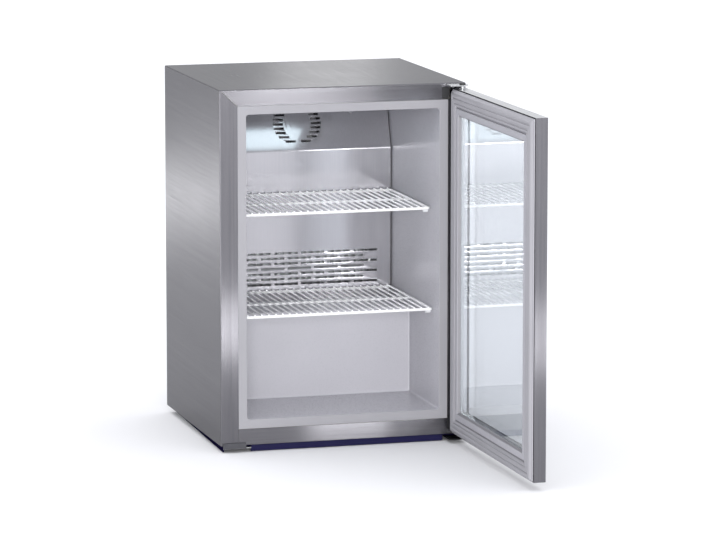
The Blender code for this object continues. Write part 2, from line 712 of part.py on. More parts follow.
def build_hinges():
    """Top arm with its pin, bottom arm with its collar and pin, the bezel insert and the corner stop."""
    nose = [(ARM_LEFT, ARM_FRONT), (ARM_RIGHT - ARM_NOSE, ARM_FRONT), (ARM_RIGHT, ARM_FRONT + ARM_NOSE)]
    arm = nose + [(ARM_RIGHT, ARM_TAIL), (ARM_LEFT, ARM_TAIL)]
    lift = Matrix.Translation((0.0, 0.0, (ARM_TOP + ARM_BOTTOM) / 2))
    top = part("top_hinge_bracket", outline([arm], ARM_THICKNESS, "top_arm"), BRIGHT_STEEL, cabinet, lift)
    sunk = ARM_THICKNESS / 2
    pin_low = DOOR_TOP - PIN_LENGTH
    pin = cylinder(PIN_RADIUS, ARM_BOTTOM + sunk - pin_low, 16, "top_pin")
    fuse(top, cutter("top_pin", pin, cabinet, Matrix.Translation((HINGE_X, HINGE_Y, pin_low))))

    low = UNDER_DECK - ARM_THICKNESS
    tail_right = HALF - BASE_INSET - SKIRT_WALL - CLEARANCE
    foot_arm = nose + [(ARM_RIGHT, 0.0), (tail_right, 0.0), (tail_right, FOOT_ARM_TAIL),
                       (ARM_LEFT, FOOT_ARM_TAIL)]
    bottom = part("bottom_hinge_bracket", outline([foot_arm], ARM_THICKNESS, "bottom_arm"),
                  DARK_STEEL, cabinet, Matrix.Translation((0.0, 0.0, low + sunk)))
    foot = Matrix.Translation((HINGE_X, HINGE_Y, low + sunk))
    collar = cylinder(COLLAR_RADIUS, DOOR_BOTTOM - CLEARANCE - low - sunk, 16, "bottom_collar")
    fuse(bottom, cutter("bottom_collar", collar, cabinet, foot))
    pin = cylinder(PIN_RADIUS, DOOR_BOTTOM + PIN_LENGTH - low - sunk, 16, "bottom_pin")
    fuse(bottom, cutter("bottom_pin", pin, cabinet, foot))

    insert = block((HINGE_BLOCK_LEFT, 0.0, HINGE_BLOCK_BOTTOM),
                   (HINGE_BLOCK_RIGHT, HINGE_BLOCK_DEPTH, HINGE_BLOCK_TOP), "hinge_block")
    part("hinge_block", insert, BLACK_PLASTIC, cabinet)

    leg_front = -CLEARANCE - STOP_THICKNESS
    leg = block((STOP_LEFT, leg_front, low), (STOP_RIGHT, -CLEARANCE, STOP_TOP), "corner_stop")
    stop = part("corner_stop", leg, DARK_STEEL, cabinet)
    ledge = block((-tail_right, leg_front + sunk / 2, low + sunk / 2),
                  (STOP_LEDGE_RIGHT, FOOT_ARM_TAIL, UNDER_DECK), "stop_ledge")
    fuse(stop, cutter("stop_ledge", ledge, cabinet))


# Evaporator, fan and cover

def cover_path():
    """The cover's front face in (Y, Z): upright below, leaning back above a rounded bend."""
    bottom = STEP_TOP - LINER_WALL
    top = OPENING_TOP - COVER_TOP_GAP
    lean_back = (top - COVER_BEND_HEIGHT) * math.tan(LEAN)
    corners = [(COVER_FRONT, bottom), (COVER_FRONT, COVER_BEND_HEIGHT), (COVER_FRONT + lean_back, top)]
    return rounded(corners, COVER_BEND_RADIUS, 4)


def fan_frame():
    """A frame on the leaning cover's back: local X across, local Y up the cover, local Z into the room."""
    y = COVER_FRONT + (FAN_CENTRE_HEIGHT - COVER_BEND_HEIGHT) * math.tan(LEAN)
    up = Vector((0.0, math.sin(LEAN), math.cos(LEAN)))
    out = Vector((0.0, -math.cos(LEAN), math.sin(LEAN)))
    turn = Matrix((Vector((1.0, 0.0, 0.0)), up, out)).transposed().to_4x4()
    inward = Matrix.Translation((0.0, 0.0, -COVER_THICKNESS))
    return Matrix.Translation((0.0, y, FAN_CENTRE_HEIGHT)) @ turn @ inward


def fan_slots():
    """Pairs of slots of one length, their middles on a ring round the fan."""
    rows = []
    middle = (FAN_SLOT_ROWS - 1) / 2
    for row in range(FAN_SLOT_ROWS):
        height = (row - middle) * FAN_SLOT_PITCH
        reach = math.sqrt(FAN_RING_RADIUS ** 2 - height ** 2)
        for side in (-1, 1):
            x = side * reach
            rows.append(((x - FAN_SLOT_LENGTH / 2, height - SLOT_HEIGHT / 2, -SLOT_HEIGHT),
                         (x + FAN_SLOT_LENGTH / 2, height + SLOT_HEIGHT / 2, SLOT_HEIGHT)))
    return rows


def grille_slots():
    """Rows of return-air slots in a brick pattern over the whole width."""
    pitch = GRILLE_SLOT_LENGTH + GRILLE_SLOT_GAP
    rows = []
    for row in range(GRILLE_ROWS):
        columns = GRILLE_COLUMNS - row % 2
        z = GRILLE_BOTTOM + row * GRILLE_PITCH
        for column in range(columns):
            x = (column - (columns - 1) / 2) * pitch
            rows.append(((x - GRILLE_SLOT_LENGTH / 2, COVER_FRONT - SLOT_HEIGHT, z),
                         (x + GRILLE_SLOT_LENGTH / 2, COVER_FRONT + SLOT_HEIGHT, z + SLOT_HEIGHT)))
    return rows


def build_cover():
    """The bent cover sheet with the fan's ring of slots and the return grille cut through it."""
    face = sheet_outline(cover_path(), COVER_THICKNESS)
    mesh = outline([face], OPENING_WIDTH - 2 * COVER_SIDE_GAP, "evaporator_cover")
    cover = part("evaporator_cover", mesh, MIRROR_ALUMINIUM, cabinet, across())
    space = cutter("cover_space", liner_void(-CLEARANCE, -LINER_RADIUS, "cover_space"), cabinet, across())
    round_edges(space, LINER_RADIUS)
    cut(cover, space, "INTERSECT")
    cut(cover, cutter("fan_slots", blocks(fan_slots(), "fan_slots"), cabinet, fan_frame()))
    cut(cover, cutter("grille_slots", blocks(grille_slots(), "grille_slots"), cabinet))


def build_fan():
    """A square fan housing with a spoke, the motor on the spoke and the blade on the motor's shaft."""
    place = fan_frame()
    side = FAN_HOUSING_SIDE / 2
    corner = [(-side, -side), (side, -side), (side, side), (-side, side)]
    turns = [2 * math.pi * step / FAN_BORE_STEPS for step in range(FAN_BORE_STEPS)]
    ring = [(FAN_BORE_RADIUS * math.cos(turn), FAN_BORE_RADIUS * math.sin(turn)) for turn in turns]
    back = -CLEARANCE - FAN_HOUSING_DEPTH
    behind = place @ Matrix.Translation((0.0, 0.0, back + FAN_HOUSING_DEPTH / 2))
    mesh = outline([corner, ring], FAN_HOUSING_DEPTH, "fan_housing")
    housing = part("fan_housing", mesh, BLACK_PLASTIC, cabinet, behind)
    rest = back + FAN_SPOKE_THICKNESS
    spoke = block((-side + CLEARANCE, -FAN_SPOKE_WIDTH / 2, back + CLEARANCE),
                  (side - CLEARANCE, FAN_SPOKE_WIDTH / 2, rest), "fan_spoke")
    fuse(housing, cutter("fan_spoke", spoke, cabinet, place))

    seat = rest + CLEARANCE
    can = standing(cylinder(FAN_HUB_RADIUS, MOTOR_LENGTH, 20, "fan_motor"))
    motor = part("fan_motor", can, BLACK_PLASTIC, cabinet, place @ Matrix.Translation((0.0, 0.0, seat)))
    hub_seat = seat + MOTOR_LENGTH + FAN_RUNNING_GAP
    shaft_low = seat + MOTOR_LENGTH / 2
    shaft = cylinder(FAN_SHAFT_RADIUS, hub_seat + FAN_HUB_LENGTH / 2 - shaft_low, 12, "fan_shaft")
    fuse(motor, cutter("fan_shaft", shaft, cabinet, place @ Matrix.Translation((0.0, 0.0, shaft_low))))

    spin = place @ Matrix.Translation((0.0, 0.0, hub_seat))
    fan_axis.location = spin.translation
    hub = standing(cylinder(FAN_HUB_RADIUS, FAN_HUB_LENGTH, 20, "fan_blade"))
    blade = part("fan_blade", hub, BLACK_PLASTIC, fan_axis, spin)
    sunk = FAN_HUB_RADIUS - FAN_BLADE_THICKNESS * 2
    work = bmesh.new()
    for index in range(FAN_BLADES):
        turn = Matrix.Rotation(2 * math.pi * index / FAN_BLADES, 4, "Z")
        lift = Matrix.Translation(((sunk + FAN_BLADE_RADIUS) / 2, 0.0, FAN_HUB_LENGTH / 2))
        tilt = Matrix.Rotation(math.radians(FAN_BLADE_PITCH), 4, "X")
        size = Matrix.Diagonal((FAN_BLADE_RADIUS - sunk, FAN_BLADE_CHORD, FAN_BLADE_THICKNESS, 1.0))
        bmesh.ops.create_cube(work, size=1.0, matrix=turn @ lift @ tilt @ size)
    fuse(blade, cutter("fan_vanes", mesh_from(work, "fan_vanes"), fan_axis, spin))
    bore = cylinder(FAN_SHAFT_RADIUS + CLEARANCE, FAN_HUB_LENGTH, 12, "hub_bore")
    down = Matrix.Translation((0.0, 0.0, -FAN_HUB_LENGTH / 4))
    cut(blade, cutter("hub_bore", bore, fan_axis, spin @ down))


def snake(half, y, middle, pitch, passes):
    """A serpentine in the XZ plane: level runs joined by half-round bends."""
    bottom = middle - pitch * (passes - 1) / 2
    corners = []
    for row in range(passes):
        z = bottom + row * pitch
        side = -half if row % 2 == 0 else half
        corners += [(side, y, z), (-side, y, z)]
    return rounded(corners, pitch / 2 - CLEARANCE, 3)


def build_evaporator():
    """A finned block on the tub's back wall and the tube that snakes across the fins."""
    half = EVAPORATOR_WIDTH / 2
    pitch = (EVAPORATOR_WIDTH - FIN_THICKNESS) / (EVAPORATOR_FINS - 1)
    rear = INTERIOR_DEPTH - CLEARANCE
    root, tip = rear - FIN_PLATE, rear - FIN_DEPTH
    comb = [(half, rear), (-half, rear)]
    for fin in range(EVAPORATOR_FINS):
        x = -half + fin * pitch
        comb += [(x, root), (x, tip), (x + FIN_THICKNESS, tip), (x + FIN_THICKNESS, root)]
    del comb[2], comb[-1]
    middle = (EVAPORATOR_TOP + EVAPORATOR_BOTTOM) / 2
    mesh = outline([comb], EVAPORATOR_TOP - EVAPORATOR_BOTTOM, "evaporator_fins")
    part("evaporator_fins", mesh, ALUMINIUM, cabinet, Matrix.Translation((0.0, 0.0, middle)))
    y = tip - CLEARANCE - EVAPORATOR_TUBE_RADIUS
    run = EVAPORATOR_TOP - EVAPORATOR_BOTTOM - 2 * EVAPORATOR_TUBE_MARGIN
    path = snake(half, y, middle, run / (EVAPORATOR_TUBE_PASSES - 1), EVAPORATOR_TUBE_PASSES)
    tube = wires([path], EVAPORATOR_TUBE_RADIUS, 2, "evaporator_tube")
    part("evaporator_tube", tube, ALUMINIUM, cabinet)


# Control box

def build_control():
    """The ceiling box with its lamp diffuser, thermostat knob and rocker switch."""
    ceiling = OPENING_TOP - CLEARANCE
    face = ceiling - CONTROL_DEPTH
    mesh = block((CONTROL_LEFT, CONTROL_FRONT, face),
                 (CONTROL_RIGHT, CONTROL_REAR, ceiling), "control_housing")
    box = part("control_housing", mesh, WHITE_PLASTIC, cabinet)
    round_edges(box, CONTROL_EDGE)

    under = face - CLEARANCE
    middle = (CONTROL_FRONT + CONTROL_REAR) / 2
    mesh = block((DIFFUSER_LEFT, middle - DIFFUSER_WIDTH / 2, under - DIFFUSER_DROP),
                 (DIFFUSER_LEFT + DIFFUSER_LENGTH, middle + DIFFUSER_WIDTH / 2, under), "lamp_diffuser")
    lens = part("lamp_diffuser", mesh, WHITE_COATING, cabinet)
    round_edges(lens, DIFFUSER_EDGE)

    knob_axis.location = (KNOB_X, KNOB_Y, under - KNOB_DROP)
    place = Matrix.Translation(knob_axis.location)
    mesh = standing(cylinder(KNOB_RADIUS, KNOB_DROP, 24, "thermostat_knob"))
    knob = part("thermostat_knob", mesh, WHITE_PLASTIC, knob_axis, place)
    ridge = block((-KNOB_RIDGE / 2, -KNOB_RADIUS + KNOB_RIDGE, -KNOB_RIDGE),
                  (KNOB_RIDGE / 2, KNOB_RADIUS - KNOB_RIDGE, KNOB_RIDGE), "knob_ridge")
    fuse(knob, cutter("knob_ridge", ridge, knob_axis, place))

    switch_axis.location = (SWITCH_X, SWITCH_Y, under - SWITCH_HEIGHT)
    end = SWITCH_LENGTH / 2
    rocker = [(-end, -SWITCH_HEIGHT / 2), (end, -SWITCH_HEIGHT / 2), (end, 0.0), (0.0, SWITCH_HEIGHT),
              (-end, 0.0)]
    mesh = outline([rocker], SWITCH_WIDTH, "light_switch")
    place = Matrix.Translation(switch_axis.location)
    part("light_switch", mesh, BLACK_PLASTIC, switch_axis, place @ across())
    switch_axis.rotation_euler = (math.radians(-SWITCH_TILT), 0.0, 0.0)


# Shelves

def build_shelf(name, top, front, carrier):
    """A welded wire grid: a thick rim with cross rods under fine wires that run from front to back."""
    back = COVER_FRONT - SHELF_BACK_GAP
    level = top - GRID_RADIUS * 2 - RIM_RADIUS + WELD_DEPTH
    half = SHELF_WIDTH / 2 - RIM_RADIUS
    near, far = front + RIM_RADIUS, back - RIM_RADIUS
    loop = [(0.0, near, level), (half, near, level), (half, far, level), (-half, far, level),
            (-half, near, level), (0.0, near, level)]
    rim = rounded(loop, RIM_CORNER, 3)[:-1]
    mesh = read_curve(wires([rim], RIM_RADIUS, 2, name, cyclic=True), name)
    shelf = part(name, mesh, WHITE_COATING, carrier)
    thin = RIM_RADIUS - WELD_DEPTH / 2
    rods = []
    for rod in range(CROSS_RODS):
        y = near + (far - near) * (rod + 1) / (CROSS_RODS + 1)
        z = level + RIM_RADIUS - thin
        rods.append([(-half, y, z), (half, y, z)])
    fuse(shelf, cutter(f"{name}_rods", read_curve(wires(rods, thin, 2, name), name), carrier))
    lines = []
    pitch = (SHELF_WIDTH - 2 * GRID_MARGIN) / (GRID_WIRES - 1)
    for wire in range(GRID_WIRES):
        x = (wire - (GRID_WIRES - 1) / 2) * pitch
        z = top - GRID_RADIUS
        lines.append([(x, near - RIM_RADIUS / 2, z), (x, far + RIM_RADIUS / 2, z)])
    fuse(shelf, cutter(f"{name}_wires", read_curve(wires(lines, GRID_RADIUS, 1, name), name), carrier))

    peg_z = level - RIM_RADIUS - CLEARANCE - PEG_RADIUS
    wall = OPENING_HALF - CLEARANCE
    for row, y in (("front", front + PEG_FRONT_OFFSET), ("rear", PEG_REAR)):
        for side, x in (("left", -wall), ("right", wall - PEG_LENGTH)):
            turn = Matrix.Translation((x, y, peg_z)) @ Matrix.Rotation(math.pi / 2, 4, "Y")
            mesh = standing(cylinder(PEG_RADIUS, PEG_LENGTH, 12, "shelf_peg"))
            part(f"{name}_peg_{row}_{side}", mesh, WHITE_PLASTIC, cabinet, turn)


# Door

def build_door_frame():
    """The folded steel channel round the panes, the two hinge bushes and the recessed grip."""
    solid = DOOR_STILE - DOOR_REBATE
    wall = solid - DOOR_SHEET
    section = [(0.0, DOOR_OUTER), (0.0, DOOR_INNER), (DOOR_SHEET, DOOR_INNER), (DOOR_SHEET, LIP_BACK),
               (wall, LIP_BACK), (wall, DOOR_INNER), (solid, DOOR_INNER), (solid, LIP_BACK),
               (DOOR_STILE, LIP_BACK), (DOOR_STILE, DOOR_OUTER)]
    mesh = frame(-HALF, HALF, DOOR_BOTTOM, DOOR_TOP, section, "door_frame")
    case = part("door_frame", mesh, STAINLESS, door_axis)
    deep = PIN_LENGTH + 2 * CLEARANCE
    for end, face, z in (("top", DOOR_TOP, DOOR_TOP - PIN_LENGTH), ("bottom", DOOR_BOTTOM, DOOR_BOTTOM)):
        hole = cylinder(BUSH_RADIUS + CLEARANCE, deep * 2, 16, "bush_hole")
        place = Matrix.Translation((HINGE_X, HINGE_Y, face - deep))
        cut(case, cutter(f"bush_hole_{end}", hole, door_axis, place))
        place = Matrix.Translation((HINGE_X, HINGE_Y, z))
        mesh = standing(cylinder(BUSH_RADIUS, PIN_LENGTH, 16, "bush"))
        bush = part(f"hinge_bush_{end}", mesh, WHITE_PLASTIC, door_axis, place)
        bore = cylinder(PIN_RADIUS + PIN_CLEARANCE, PIN_LENGTH * 2, 16, "bush_bore")
        place = Matrix.Translation((HINGE_X, HINGE_Y, z - PIN_LENGTH / 2))
        cut(bush, cutter(f"bush_bore_{end}", bore, door_axis, place))

    left, right = -HALF + GRIP_INSET, -HALF + GRIP_INSET + GRIP_WIDTH
    low, high = GRIP_MIDDLE - GRIP_HEIGHT / 2, GRIP_MIDDLE + GRIP_HEIGHT / 2
    deep = DOOR_OUTER + GRIP_DEPTH
    past = DOOR_OUTER - GRIP_WALL * 2
    pocket = block((left - CLEARANCE, past, low - CLEARANCE),
                   (right + CLEARANCE, deep + CLEARANCE, high + CLEARANCE), "grip_pocket")
    cut(case, cutter("grip_pocket", pocket, door_axis))
    mesh = block((left, DOOR_OUTER, low), (right, deep, high), "grip_cup")
    cup = part("grip_cup", mesh, BLACK_PLASTIC, door_axis)
    hollow = block((left + GRIP_WALL, past, low + GRIP_WALL),
                   (right - GRIP_WALL, deep - GRIP_WALL, high - GRIP_WALL), "grip_hollow")
    cut(cup, cutter("grip_hollow", hollow, door_axis))


def build_glazing():
    """Two panes held apart by an aluminium spacer, in the rebate of the door frame."""
    edge = DOOR_STILE - DOOR_REBATE + CLEARANCE
    low, high = DOOR_BOTTOM + edge, DOOR_TOP - edge
    half = HALF - edge
    outer = LIP_BACK + CLEARANCE
    inner = DOOR_INNER - CLEARANCE - PANE
    for name, y in (("outer_pane", outer), ("inner_pane", inner)):
        part(name, block((-half, y, low), (half, y + PANE, high), name), CLEAR_GLASS, door_axis)
    near, far = outer + PANE + CLEARANCE, inner - CLEARANCE
    ring = [(0.0, near), (0.0, far), (SPACER_WIDTH, far), (SPACER_WIDTH, near)]
    part("pane_spacer", frame(-half, half, low, high, ring, "pane_spacer"), ALUMINIUM, door_axis)


def build_door_seal():
    """The moulded inner frame over the panes' edge and the ribbed gasket that seats on it."""
    seat = DOOR_INNER + CLEARANCE
    plate = seat + INNER_FRAME_PLATE
    start, end = GASKET_INSET, GASKET_INSET + GASKET_WIDTH
    lip_start = end + GROOVE
    lip_end = DOOR_STILE + INNER_FRAME_OVERHANG
    section = [(INNER_FRAME_INSET, seat), (INNER_FRAME_INSET, plate), (lip_start, plate),
               (lip_start, -LIP_SETBACK), (lip_end, -LIP_SETBACK), (lip_end, seat)]
    mesh = frame(-HALF, HALF, DOOR_BOTTOM, DOOR_TOP, section, "door_inner_frame")
    part("door_inner_frame", mesh, DOOR_GREY, door_axis)

    base = plate + CLEARANCE
    crest = -GASKET_GAP
    valley = crest - GASKET_RIB_DEPTH
    first = start + GASKET_SLOPE
    rib = (end - first) / 5
    seal = [(start, base), (first, crest), (first + rib, crest), (first + rib * 1.5, valley),
            (first + rib * 2, crest), (first + rib * 3, crest), (first + rib * 3.5, valley),
            (first + rib * 4, crest), (end, crest), (end, base)]
    mesh = frame(-HALF, HALF, DOOR_BOTTOM, DOOR_TOP, seal, "door_gasket")
    part("door_gasket", mesh, GASKET_GREY, door_axis)


# Machine niche and condenser

def build_compressor():
    """The sealed pot on its mounting plate, four grommets, the starter box and the drain pan on its lid."""
    seat = DECK_TOP + 2 * CLEARANCE + GROMMET_HEIGHT
    low = seat + COMPRESSOR_LEG_THICKNESS / 2
    top = low + COMPRESSOR_HEIGHT
    arc = [step / 5 * math.pi / 2 for step in range(6)]
    lid = [(COMPRESSOR_RADIUS * math.sin(a), top - COMPRESSOR_DOME * (1 - math.cos(a))) for a in arc]
    seam = low + COMPRESSOR_SEAM_HEIGHT
    rim = COMPRESSOR_RADIUS + COMPRESSOR_SEAM
    belt = [(COMPRESSOR_RADIUS, seam + COMPRESSOR_SEAM), (rim, seam + COMPRESSOR_SEAM / 2),
            (rim, seam - COMPRESSOR_SEAM / 2), (COMPRESSOR_RADIUS, seam - COMPRESSOR_SEAM)]
    bowl = [(COMPRESSOR_RADIUS * math.cos(a), low + COMPRESSOR_DOME * (1 - math.sin(a))) for a in arc]
    place = Matrix.Translation((COMPRESSOR_X, MACHINE_Y, 0.0))
    squash = Matrix.Diagonal((1.0, COMPRESSOR_NARROW_RADIUS / COMPRESSOR_RADIUS, 1.0, 1.0))
    profile = [(0.0, top)] + lid[1:] + belt + bowl[:-1] + [(0.0, low)]
    pot = turned(profile, 24, "compressor", BLACK_ENAMEL, cabinet, place @ squash)
    long, wide = COMPRESSOR_LEG_LENGTH / 2, COMPRESSOR_LEG_WIDTH / 2
    legs = block((-long, -wide, seat), (long, wide, seat + COMPRESSOR_LEG_THICKNESS), "compressor_legs")
    fuse(pot, cutter("compressor_legs", legs, cabinet, place))
    for row, y in (("front", GROMMET_INSET - wide), ("rear", wide - GROMMET_INSET)):
        for side, x in (("left", GROMMET_INSET - long), ("right", long - GROMMET_INSET)):
            mesh = standing(cylinder(GROMMET_RADIUS, GROMMET_HEIGHT, 12, "grommet"))
            spot = Matrix.Translation((x, y, DECK_TOP + CLEARANCE))
            part(f"grommet_{row}_{side}", mesh, RUBBER, cabinet, place @ spot)

    wall = COMPRESSOR_X + rim + CLEARANCE
    near, far = MACHINE_Y - STARTER_WIDTH / 2, MACHINE_Y + STARTER_WIDTH / 2
    mesh = block((wall, near, STARTER_BOTTOM),
                 (wall + STARTER_LENGTH, far, STARTER_BOTTOM + STARTER_HEIGHT), "starter_box")
    part("starter_box", mesh, BLACK_PLASTIC, cabinet)

    floor = top + CLEARANCE
    left, right = COMPRESSOR_X - DRAIN_PAN_LENGTH / 2, COMPRESSOR_X + DRAIN_PAN_LENGTH / 2
    near, far = MACHINE_Y - DRAIN_PAN_WIDTH / 2, MACHINE_Y + DRAIN_PAN_WIDTH / 2
    wall = DRAIN_PAN_WALL
    tray = part("drain_pan", block((left, near, floor), (right, far, floor + DRAIN_PAN_HEIGHT), "drain_pan"),
                BLACK_PLASTIC, cabinet)
    inside = block((left + wall, near + wall, floor + wall),
                   (right - wall, far - wall, floor + DRAIN_PAN_HEIGHT * 2), "pan_inside")
    cut(tray, cutter("pan_inside", inside, cabinet))


def build_condenser():
    """A tube that snakes up the rear, a flat wire grid behind it and the bent rod that hangs both."""
    rod_y = CABINET_DEPTH + CONDENSER_STANDOFF
    half = CONDENSER_WIDTH / 2
    reach = half - CONDENSER_ROD_INSET
    rods = []
    for z in (CONDENSER_BOTTOM, CONDENSER_TOP):
        rods.append([(-reach, rod_y, z), (reach, rod_y, z)])
    mesh = read_curve(wires(rods, CONDENSER_ROD_RADIUS, 1, "condenser_wires"), "condenser_wires")
    grid = part("condenser_wires", mesh, BLACK_ENAMEL, cabinet)
    wire_y = rod_y - CONDENSER_ROD_RADIUS
    over = CONDENSER_ROD_RADIUS * 2
    lines = []
    pitch = (CONDENSER_WIDTH - 2 * CONDENSER_WIRE_MARGIN) / (CONDENSER_WIRES - 1)
    for wire in range(CONDENSER_WIRES):
        x = (wire - (CONDENSER_WIRES - 1) / 2) * pitch
        lines.append([(x, wire_y, CONDENSER_BOTTOM - over), (x, wire_y, CONDENSER_TOP + over)])
    mesh = read_curve(wires(lines, CONDENSER_WIRE_RADIUS, 0, "condenser_lines"), "condenser_lines")
    fuse(grid, cutter("condenser_lines", mesh, cabinet))

    foot = CABINET_DEPTH + CLEARANCE
    bar_y = wire_y + CONDENSER_WIRE_RADIUS + CLEARANCE + CONDENSER_ROD_RADIUS
    bar_z = CONDENSER_TOP - HANGER_DROP
    corners = [(-half, foot, bar_z), (-half, bar_y, bar_z), (half, bar_y, bar_z), (half, foot, bar_z)]
    path = rounded(corners, CONDENSER_ROD_RADIUS * 3, 3)
    part("condenser_hanger", wires([path], CONDENSER_ROD_RADIUS, 2, "condenser_hanger"), BLACK_ENAMEL, cabinet)

    tube_y = wire_y - CONDENSER_WIRE_RADIUS - CLEARANCE - CONDENSER_TUBE_RADIUS
    middle = (CONDENSER_TOP + CONDENSER_BOTTOM) / 2
    rise = CONDENSER_TOP - CONDENSER_BOTTOM - 2 * CONDENSER_END_MARGIN
    pitch = rise / (CONDENSER_PASSES - 1)
    path = snake(half - CONDENSER_TUBE_MARGIN, tube_y, middle, pitch, CONDENSER_PASSES)
    part("condenser_tube", wires([path], CONDENSER_TUBE_RADIUS, 2, "condenser_tube"), BLACK_ENAMEL, cabinet)
    return path


def pipe(name, corners):
    """A bent copper pipe."""
    path = rounded(corners, PIPE_BEND, 4)
    part(name, wires([path], PIPE_RADIUS, 2, name), COPPER, cabinet)


def build_pipes(condenser):
    """Discharge, liquid and suction pipes, the filter drier and the mains inlet."""
    reach = COMPRESSOR_RADIUS + CLEARANCE
    entry, outlet = condenser[-1], condenser[0]
    riser = entry.x + RISER_REACH
    pipe("discharge_pipe", [
        (COMPRESSOR_X + reach, MACHINE_Y, PIPE_HEIGHT), (riser, MACHINE_Y, PIPE_HEIGHT),
        (riser, entry.y, PIPE_HEIGHT), (riser, entry.y, entry.z), (entry.x + CLEARANCE, entry.y, entry.z)])
    fall = outlet.x - RISER_REACH
    pipe("liquid_pipe", [
        (outlet.x - CLEARANCE, outlet.y, outlet.z), (fall, outlet.y, outlet.z), (fall, outlet.y, LIQUID_HEIGHT),
        (fall, DRIER_Y, LIQUID_HEIGHT), (DRIER_X, DRIER_Y, LIQUID_HEIGHT),
        (DRIER_X, DRIER_Y, DRIER_BOTTOM - CLEARANCE)])
    pipe("suction_pipe", [
        (SUCTION_X, MACHINE_Y, NICHE_TOP - STEEL_SHEET - CLEARANCE), (SUCTION_X, MACHINE_Y, PIPE_HEIGHT),
        (COMPRESSOR_X - reach, MACHINE_Y, PIPE_HEIGHT)])
    neck, cone = PIPE_RADIUS, DRIER_RADIUS
    top = DRIER_BOTTOM + DRIER_LENGTH
    profile = [(0.0, top), (neck, top), (DRIER_RADIUS, top - cone), (DRIER_RADIUS, DRIER_BOTTOM + cone),
               (neck, DRIER_BOTTOM), (0.0, DRIER_BOTTOM)]
    turned(profile, 16, "filter_drier", COPPER, cabinet, Matrix.Translation((DRIER_X, DRIER_Y, 0.0)))

    rear = CABINET_DEPTH - INLET_REAR_INSET
    low = DECK_TOP + CLEARANCE
    mesh = block((INLET_X - INLET_WIDTH / 2, rear - INLET_DEPTH, low),
                 (INLET_X + INLET_WIDTH / 2, rear, low + INLET_HEIGHT), "power_inlet")
    inlet = part("power_inlet", mesh, BLACK_PLASTIC, cabinet)
    middle = low + INLET_HEIGHT / 2
    wide, tall = INLET_SOCKET_WIDTH / 2, INLET_SOCKET_HEIGHT / 2
    socket = block((INLET_X - wide, rear - INLET_SOCKET_DEPTH, middle - tall),
                   (INLET_X + wide, rear * 2, middle + tall), "inlet_socket")
    cut(inlet, cutter("inlet_socket", socket, cabinet))


cabinet = holder("cabinet")
door_axis = holder("door_axis", (HINGE_X, HINGE_Y, DOOR_BOTTOM), cabinet)
fan_axis = holder("fan_axis", parent=cabinet)
knob_axis = holder("knob_axis", parent=cabinet)
switch_axis = holder("switch_axis", parent=cabinet)
upper_slide = holder("upper_slide", (0.0, UPPER_SHELF_FRONT, UPPER_SHELF_TOP), cabinet)
lower_slide = holder("lower_slide", (0.0, LOWER_SHELF_FRONT, LOWER_SHELF_TOP), cabinet)

build_wrapper()
build_bottom_rail()
build_liner()
build_foam()
build_rear()
build_base()
build_hinges()
build_cover()
build_fan()
build_evaporator()
build_control()
build_shelf("upper_shelf", UPPER_SHELF_TOP, UPPER_SHELF_FRONT, upper_slide)
build_shelf("lower_shelf", LOWER_SHELF_TOP, LOWER_SHELF_FRONT, lower_slide)
build_door_frame()
build_glazing()
build_door_seal()
build_compressor()
build_pipes(build_condenser())

door_axis.rotation_euler = (0.0, 0.0, math.radians(DOOR_OPEN))
bpy.context.view_layer.update()

# The origin goes to the middle of the underside of everything that was built
graph = bpy.context.evaluated_depsgraph_get()
spots = []
for obj in parts.objects:
    if obj.type != "EMPTY":
        shape = obj.evaluated_get(graph)
        mesh = shape.to_mesh()
        spots += [shape.matrix_world @ vert.co for vert in mesh.vertices]
        shape.to_mesh_clear()
low = [min(spot[axis] for spot in spots) for axis in range(3)]
high = [max(spot[axis] for spot in spots) for axis in range(3)]
cabinet.location = (-(low[0] + high[0]) / 2, -(low[1] + high[1]) / 2, -low[2])
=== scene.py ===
# %% [markdown]
# # A compact refrigerator with a glass door
#
# The solids of the refrigerator come in as a fixed frame. This lesson dresses them: it sets up a camera
# and lights, makes a finish for each real material, rounds the edges that the solids leave sharp, and
# models the pieces that need finer shapes, such as the gasket and the wire shelves. Lengths are in metres,
# and in millimetres where a name ends in _MM.

# %% Load the frame
import json
import math
import bmesh
import bpy
from mathutils import Matrix, Vector


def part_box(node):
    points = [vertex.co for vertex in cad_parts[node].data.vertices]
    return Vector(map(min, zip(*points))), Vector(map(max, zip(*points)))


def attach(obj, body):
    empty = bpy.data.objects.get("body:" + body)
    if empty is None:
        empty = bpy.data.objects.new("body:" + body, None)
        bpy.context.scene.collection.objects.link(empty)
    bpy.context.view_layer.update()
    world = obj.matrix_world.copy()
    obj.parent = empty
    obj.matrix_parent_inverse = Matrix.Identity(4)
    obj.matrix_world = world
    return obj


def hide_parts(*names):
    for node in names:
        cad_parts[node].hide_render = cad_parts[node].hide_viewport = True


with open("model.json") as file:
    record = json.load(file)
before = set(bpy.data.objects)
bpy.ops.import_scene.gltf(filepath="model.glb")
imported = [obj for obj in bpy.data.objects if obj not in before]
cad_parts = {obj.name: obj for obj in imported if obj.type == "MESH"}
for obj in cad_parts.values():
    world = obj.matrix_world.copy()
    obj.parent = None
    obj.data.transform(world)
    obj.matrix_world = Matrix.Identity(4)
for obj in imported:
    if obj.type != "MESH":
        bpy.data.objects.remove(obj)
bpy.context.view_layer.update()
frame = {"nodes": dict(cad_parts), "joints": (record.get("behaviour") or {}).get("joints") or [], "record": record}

# %% [markdown]
# ## The camera
#
# The camera stands far away, a little to the left and above, with a long lens. It could be placed by eye,
# but its place was worked out from the corners of the cabinet, so that the edges fall where they should. A
# long lens keeps upright edges almost parallel. The camera is aimed at one point, so nothing has to be
# shifted sideways in the picture.

